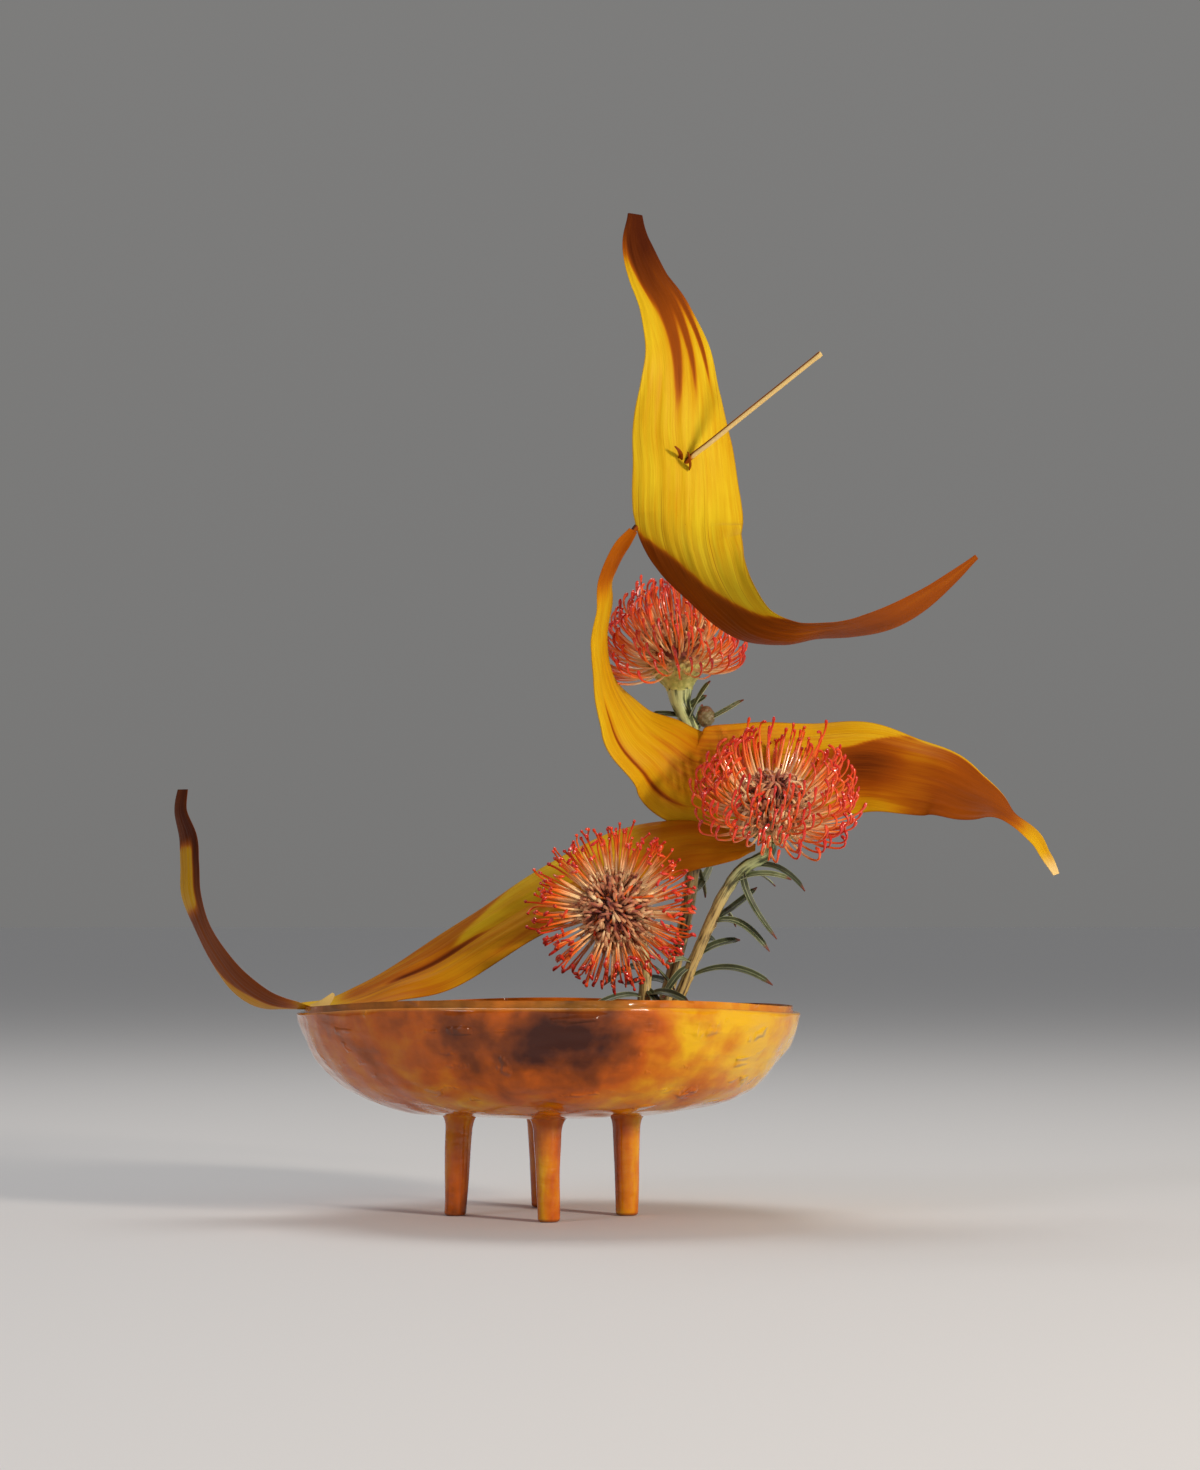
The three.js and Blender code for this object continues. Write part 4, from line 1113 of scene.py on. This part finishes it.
# %% [markdown]
# ## Pincushion heads
# A pincushion is hundreds of small flowers on one domed base. Each flower has opened into four woolly
# claws that curl back, and has let go a long stiff style, which bends out, then back in, and ends in a
# glossy knob. Hair systems would draw the styles, but they leave no mesh. So every style is a thin
# tube, and a whole head's styles are one array: the golden angle spreads them evenly over the dome.

# %% Directions on a head, and placing a head
GOLDEN_ANGLE = np.pi * (3 - np.sqrt(5))
ROOT_HEIGHT = 17.0
ROOT_RADIUS, WOOL_RADIUS, CLAW_RADIUS = 12.5, 15.0, 15.5
CORE = [(0.4, 0.2), (5.4, 0), (9.5, 4), (15.5, 10), (17.5, 17), (15, 25), (8.5, 31), (0.4, 33)]


def direction(angle, azimuth):
    """A unit step at an angle from the head's axis: the sine goes outwards, the cosine upwards."""
    out = np.sin(angle)
    return np.stack(np.broadcast_arrays(out * np.cos(azimuth), out * np.sin(azimuth), np.cos(angle)), -1)


def dome(count, inner, outer):
    """Angles and azimuths of evenly spread places: the cosine of the angle falls in equal steps."""
    index = np.arange(count)[:, None]
    share = (index + 0.5) / count
    angle = np.arccos(np.cos(inner) + (np.cos(outer) - np.cos(inner)) * share)
    return angle, index * GOLDEN_ANGLE


def placed(shape, bloom):
    """Turns a head by the shortest turn from upright to its axis, and moves it to its base."""
    axis = unit(np.array(bloom["axis"], float))
    a, b, c = axis
    turn = np.array([[1 - a * a / (1 + c), -a * b / (1 + c), a],
                     [-a * b / (1 + c), 1 - b * b / (1 + c), b],
                     [-a, -b, c]])
    shape.points = shape.points @ turn.T + np.array(bloom["base"], float)
    return shape


# %% The core and its bracts
PEBBLE, PEBBLE_SIZE = 0.8, 4.2
BRACT_REACH, BRACT_HALF_WIDTH, BRACT_HALF_DEPTH = 15, 2.6, 0.35


def core(rings=46):
    """The domed base: the frame's profile smoothed by a curve, with a pebbled woolly top."""
    share = np.linspace(0, 1, rings)
    profile = evenly(np.insert(np.array(CORE, float), 1, 0, axis=1), share)
    ring = turned(profile[:, 0], profile[:, 2], 48)
    bumps = PEBBLE * waves(ring, PEBBLE_SIZE, seed=41) * smooth(ring[..., 2], 8, 14)
    ring = ring + unit(ring - [0, 0, ROOT_HEIGHT]) * bumps[..., None] * (ring[..., 2:] < 32)
    return tubes(ring[None], along=share[:, None], draw=0.5)


def bracts(neck, count=64):
    """Pointed scales round the base: they lie on the core's slope and lift off at their tips.

    They start as far below the base as the neck is flared, so that a flared neck runs into them."""
    index = np.arange(count)[:, None, None]
    share, azimuth = (index + 0.5) / count, index * GOLDEN_ANGLE
    profile = np.array([(5.4 + neck * 0.8, -neck - 1), *CORE[1:5]], float)
    profile[1, 0] += neck * 0.85
    t = np.linspace(0, 1, 7)[None, :, None]
    height = 0.4 - neck + (share * 0.62 + 0.42 * t) * (BRACT_REACH + neck)
    radius = np.interp(height, profile[:, 1], profile[:, 0]) + 0.3 + 1.6 * t**2
    u = np.linspace(-1, 1, 5)
    half = BRACT_HALF_WIDTH * np.sqrt(np.clip(1 - t**1.7, 0.004, 1))
    spread = azimuth + half * u / radius
    flat = upright(radius, height + 0 * u, spread)
    outward = upright(np.ones_like(spread), 0.15 + 0 * spread, spread)
    body = outward * (BRACT_HALF_DEPTH * (1 - 0.7 * u**2))[:, None]
    return tubes(two_faces(flat, body), along=t * 0.5, draw=share)


# %% [markdown]
# The styles are the flower's show, and what makes them one is how they bend. So each is walked rather
# than drawn: at every step its angle from the head's axis is known, and the steps are added up. The
# angle starts a little wider than the place where it grows, closes steadily, and closes fast in the
# last quarter, which makes the hook. On the side that hangs down the hooks are tighter.

# %% Walking a path, and the styles
STYLE_RADIUS = 0.62
STYLE_STEPS = np.array([0, 0.1, 0.2, 0.3, 0.4, 0.5, 0.6, 0.7, 0.77, 0.83, 0.88, 0.92, 0.95, 0.98, 1.0])
STYLE_SIZES = np.array([1.3, 1.2, 1.1, 1, 1, 1, 1, 1, 0.95, 0.95, 1, 1.25, 1.65, 1.5, 0.4])


def walked(radius, angle, azimuth, heading, twisted, length, t):
    """Paths from a sphere round the head's middle, summed up from their steps.

    Each step has its share of the length and goes at the heading halfway along it."""
    halfway = (heading[:, 1:] + heading[:, :-1]) / 2
    turning = (twisted[:, 1:] + twisted[:, :-1]) / 2
    steps = direction(halfway, turning) * (np.diff(t) * length)[..., None]
    still = np.zeros((len(steps), 1, 3))
    root = direction(angle, azimuth) * radius + [0, 0, ROOT_HEIGHT]
    return root + np.concatenate([still, np.cumsum(steps, axis=1)], axis=1)


def shoots(path, azimuth, size, sides, along, shade, thin=1.0):
    """Tubes round paths: their half axis that leads away from the head's axis is size times thin."""
    ring = ringed(path, direction(np.pi / 2, azimuth + np.pi / 2), size * thin, size, sides)
    return tubes(ring, along=along[..., None], draw=shade[..., None])


def styles(spread, length, out, closing, hook, curl, lean, count, seed):
    """Heading: angle plus out at first, angle less closing at the end, less hook in the last quarter.

    Each style turns aside by up to curl over its last third, and the whole head leans, by the square
    of the way along each style."""
    draw = np.random.default_rng(seed)
    each = (count, 1)
    angle, azimuth = dome(count, *spread)
    azimuth = azimuth + draw.normal(0, 0.06, each)
    t = STYLE_STEPS[None]
    first = angle + out * np.sin(angle) + draw.normal(0, 0.08, each)
    last = angle - closing * np.sin(angle) + draw.normal(0, 0.14, each)
    hanging = 1 + 0.55 * (1 - np.sin(azimuth)) / 2
    hooked = hook * hanging * draw.uniform(0.35, 1.25, each)
    heading = first + (last - first) * t**1.25 - hooked * np.clip((t - 0.76) / 0.24, 0, 1) ** 1.2
    aside = draw.normal(0, 0.22, each) * t**2
    aside = aside + draw.normal(0, curl, each) * np.clip((t - 0.66) / 0.34, 0, 1) ** 1.4
    length = length * draw.normal(1, 0.07, each)
    path = walked(ROOT_RADIUS, angle, azimuth, heading, azimuth + aside, length, t)
    path = path + np.array(lean) * t[..., None] ** 2
    size = STYLE_RADIUS * STYLE_SIZES * draw.normal(1, 0.07, each)
    return shoots(path, azimuth, size, 6, t, draw.uniform(0, 1, each))


def young_styles(count, seed):
    """Styles not yet free: short ones on the middle of the dome, each rolled over in a half turn."""
    draw = np.random.default_rng(seed)
    each = (count, 1)
    angle, azimuth = dome(count, 0.02, 0.95)
    t = np.linspace(0, 1, 13)[None]
    heading = angle + draw.normal(0, 0.3, each) + draw.uniform(1.8, 3.4, each) * t**1.6
    twisted = azimuth + draw.normal(0, 1.2, each) + 0 * t
    path = walked(WOOL_RADIUS, angle, azimuth, heading, twisted, draw.uniform(10, 17, each), t)
    size = np.append(np.full(9, 0.6), [0.65, 0.95, 0.9, 0.3]) * np.ones(each)
    return shoots(path, twisted, size, 6, 0.5 + 0.4 * t, draw.uniform(0, 1, each))


# %% [markdown]
# The woolly middle is built from two kinds of small thing. A claw is a short flat band which leaves the
# dome and rolls up, so that hundreds of them make a bed of curls. Hairs are three-sided needles. Both
# are walked like the styles, and there can be many, because each has only a few dozen faces.

# %% Claws and wool
def claws(count, widest, seed):
    """Bands that stand up from the dome for half their length and roll up over the other half."""
    draw = np.random.default_rng(seed)
    each = (count, 1)
    angle, azimuth = dome(count, 0.05, widest)
    t = np.linspace(0, 1, 13)[None]
    roll = draw.uniform(2.6, 6.0, each) * np.where(draw.uniform(0, 1, each) < 0.8, 1, -1)
    heading = angle + draw.normal(0, 0.16, each) + roll * np.clip((t - 0.34) / 0.66, 0, 1) ** 1.3
    twisted = azimuth + draw.normal(0, 0.5, each) + 0 * t
    path = walked(CLAW_RADIUS, angle, azimuth, heading, twisted, draw.uniform(13, 20, each), t)
    size = np.interp(t, [0, 0.5, 0.85, 1], [0.7, 0.75, 1.0, 0.45]) * draw.uniform(0.75, 1.15, each)
    shade = 0.5 * draw.uniform(0, 1, each) + 0.5 * angle / widest
    return shoots(path, twisted, size, 5, t, shade, thin=0.55)


def wool(count, widest, seed):
    """Fine hairs: needles that start along the dome's own direction, each turned by a draw."""
    draw = np.random.default_rng(seed)
    each = (count, 1)
    angle, azimuth = dome(count, 0.02, widest)
    t = np.linspace(0, 1, 4)[None]
    heading = angle + draw.normal(0, 0.5, each) + draw.normal(0, 0.6, each) * t
    twisted = azimuth + draw.normal(0, 0.6, each) + 0 * t
    path = walked(WOOL_RADIUS, angle, azimuth, heading, twisted, draw.uniform(4, 8.5, each), t)
    size = np.interp(t, [0, 1], [0.2, 0.08]) * np.ones(each)
    return shoots(path, twisted, size, 3, t, draw.uniform(0, 1, each))


# %% [markdown]
# The styles' colour runs along them: cream at the foot, then orange, then coral, with a redder glossy
# knob. Each claw has its own shade between maroon and cream, and shows more cream at its rolled end.
# The base is yellow-green below, where the bracts are, and dark among the claws.

# %% The blooms' finishes
STYLE_CREAM, STYLE_ORANGE, STYLE_CORAL, STYLE_RED = tints("f8d8a2 f07a22 e6481a cc2c24")
WOOL_CREAM, WOOL_TAN, WOOL_FOX, WOOL_DARK = tints("f4d6a4 cf8f60 9c4630 5c1c14")
BRACT_LIME, BRACT_OLIVE = tints("dcd884 9ba04e")


def style_finish():
    style = Finish("coral_style", Coat_Weight=0.35, Coat_Roughness=0.15)
    along, shade = style.marks("along draw")
    run = along + (shade - 0.5) * 0.26
    colour = style.ramp(
        run, (0.3, STYLE_CREAM), (0.6, STYLE_ORANGE), (0.83, STYLE_CORAL), (1.0, STYLE_RED),
    )
    knob = style.smooth(along, 0.9, 0.93)
    style.set(Base_Color=colour, Roughness=0.36 - knob * 0.12)
    return style


def wool_finish():
    wool = Finish("fox_wool", Sheen_Weight=0.2)
    along, shade = wool.marks("along draw")
    tuft = wool.noise(wool.place(), 110, 3)
    tone = shade * 0.62 + along * 0.5 + (tuft - 0.5) * 1.1 - 0.06
    colour = wool.ramp(tone, (0.1, WOOL_DARK), (0.34, WOOL_FOX), (0.6, WOOL_TAN), (0.85, WOOL_CREAM))
    wool.set(Base_Color=colour, Roughness=0.6 + (tuft - 0.5) * 0.3)
    return wool


def core_finish():
    base = Finish("bract_and_core")
    along, shade = base.marks("along draw")
    grain = base.noise(base.place(), 300, 3, 0.6)
    green = base.ramp(grain * 0.8 + shade * 0.3, (0.3, BRACT_OLIVE), (0.7, BRACT_LIME))
    tip = base.smooth(along, 0.36, 0.5) * 0.45
    brown = base.ramp(grain, (0.35, WOOL_DARK), (0.7, WOOL_FOX))
    top = base.smooth(along, 0.42, 0.55)
    base.set(Base_Color=base.mix(top, base.mix(tip, green, WOOL_TAN), brown), Roughness=0.6)
    base.bump(grain, 0.4, 0.8)
    return base


# %% Dress the three heads
STYLE_FACTS = {  # spread, length, out, closing, hook, curl, lean, count
    "high": ((0.2, 2.05), 37, 0.1, 1.1, 1.2, 0.2, (-2, 0, 2), 280),
    "middle": ((0.75, 1.72), 42, 0.28, 0.72, 1.8, 0.45, (3, 7, 0), 240),
    "low": ((0.8, 1.66), 41, 0.32, 0.62, 2.2, 1.0, (0, 1, 0), 220),
}
CLAW_REACH = {"high": 0.85, "middle": 1.4, "low": 1.45}  # radians from the head's axis
YOUNG_STYLES, CLAWS, HAIRS = 34, 320, 1000
finishes = style_finish(), wool_finish(), core_finish()
for number, (name, bloom) in enumerate(BLOOMS.items()):
    seed = 60 + number * 10
    showing = joined(styles(*STYLE_FACTS[name], seed), young_styles(YOUNG_STYLES, seed + 1))
    widest = CLAW_REACH[name]
    woolly = joined(claws(CLAWS, widest, seed + 2), wool(HAIRS, widest, seed + 3))
    base = joined(core(), bracts(bloom["flare"] - 1))
    new_piece(f"styles_{name}", placed(showing, bloom), finishes[0], "protea_bloom", f"bloom_{name}")
    new_piece(f"wool_{name}", placed(woolly, bloom), finishes[1], "protea_bloom")
    new_piece(f"core_{name}", placed(base, bloom), finishes[2], "protea_bloom")

# %% [markdown]
# ## The studio
# The floor is plain and pale, and the light is soft: a low key from the right in front, which rounds
# the bowl and shades the undersides of the leaves, a weaker fill from the left, and a broad light from
# above and behind for the margins. The lamps stand well away, so that the floor is lit evenly. The sky
# is a grey that brightens a little upwards, dim enough to leave the golds and ambers their depth.

# %% Floor, sky and lights
FLOOR_SIZE = 60.0
SKY_LOW, SKY_CLIMB = 0.23, 1.4
floor_mesh = bpy.data.meshes.new("floor")
corners = np.array([[-1, -1, 0], [1, -1, 0], [1, 1, 0], [-1, 1, 0]]) * FLOOR_SIZE / 2
floor_mesh.from_pydata((corners + [0, 0, -0.0002]).tolist(), [], [(0, 1, 2, 3)])
floor = bpy.data.objects.new("floor", floor_mesh)
bpy.context.scene.collection.objects.link(floor)
PALE_FLOOR, SKY_WHITE, KEY_WARM, FILL_COOL, TOP_WHITE = tints("e0e1e5 e9e8e6 fff1de f4f6ff fffaf2")
floor_finish = Finish("pale_floor", Roughness=0.75, Base_Color=PALE_FLOOR)
floor_mesh.materials.append(floor_finish.material)

sky = bpy.data.worlds.new("studio")
sky.use_nodes = True
air = Graph(sky.node_tree)
way = air.node("TexCoord", output="Generated")
height = air.node("SeparateXYZ", {}, {0: way}, output="Z")
brightness = {"Value": height, "To Min": SKY_LOW, "To Max": SKY_LOW * SKY_CLIMB}
background = sky.node_tree.nodes["Background"]
air.put(background.inputs[0], SKY_WHITE)
air.put(background.inputs[1], air.node("MapRange", {}, brightness))
bpy.context.scene.world = sky


def studio_light(name, place, target, size, power, shade):
    """A square area light that looks from its place to its target."""
    lamp = bpy.data.lights.new(name, "AREA")
    lamp.size, lamp.energy, lamp.color = size, power, shade[:3]
    light = bpy.data.objects.new(name, lamp)
    aim = mathutils.Vector(np.subtract(target, place))
    light.rotation_euler = aim.to_track_quat("-Z", "Y").to_euler()
    light.location = place
    bpy.context.scene.collection.objects.link(light)


CENTRE = (0.0, 0.0, 0.28)
studio_light("key", (2.1, -2.2, 0.95), CENTRE, 0.45, 82, KEY_WARM)
studio_light("fill", (-2.2, -2.2, 1.5), CENTRE, 0.8, 15, FILL_COOL)
studio_light("top", (-0.3, 0.9, 2.7), CENTRE, 1.4, 26, TOP_WHITE)

# %% [markdown]
# ## The camera
# The eye stands where the photograph's perspective says, just above the lip's height and 2.27 metres
# away, with a long lens. It looks a little to the right of the bowl and a little up.

# %% The camera
EYE = np.array([0.0, -2272.0, 180.0])
TURN_RIGHT, LOOK_UP = 0.768, 2.52
camera_data = bpy.data.cameras.new("camera")
camera_data.lens = 95.0
camera = bpy.data.objects.new("camera", camera_data)
camera.location = (EYE + MIDDLE) * MM
camera.rotation_euler = np.radians([90 + LOOK_UP, 0, -TURN_RIGHT])
bpy.context.scene.collection.objects.link(camera)
bpy.context.scene.camera = camera
bpy.context.scene.view_settings.view_transform = "Standard"
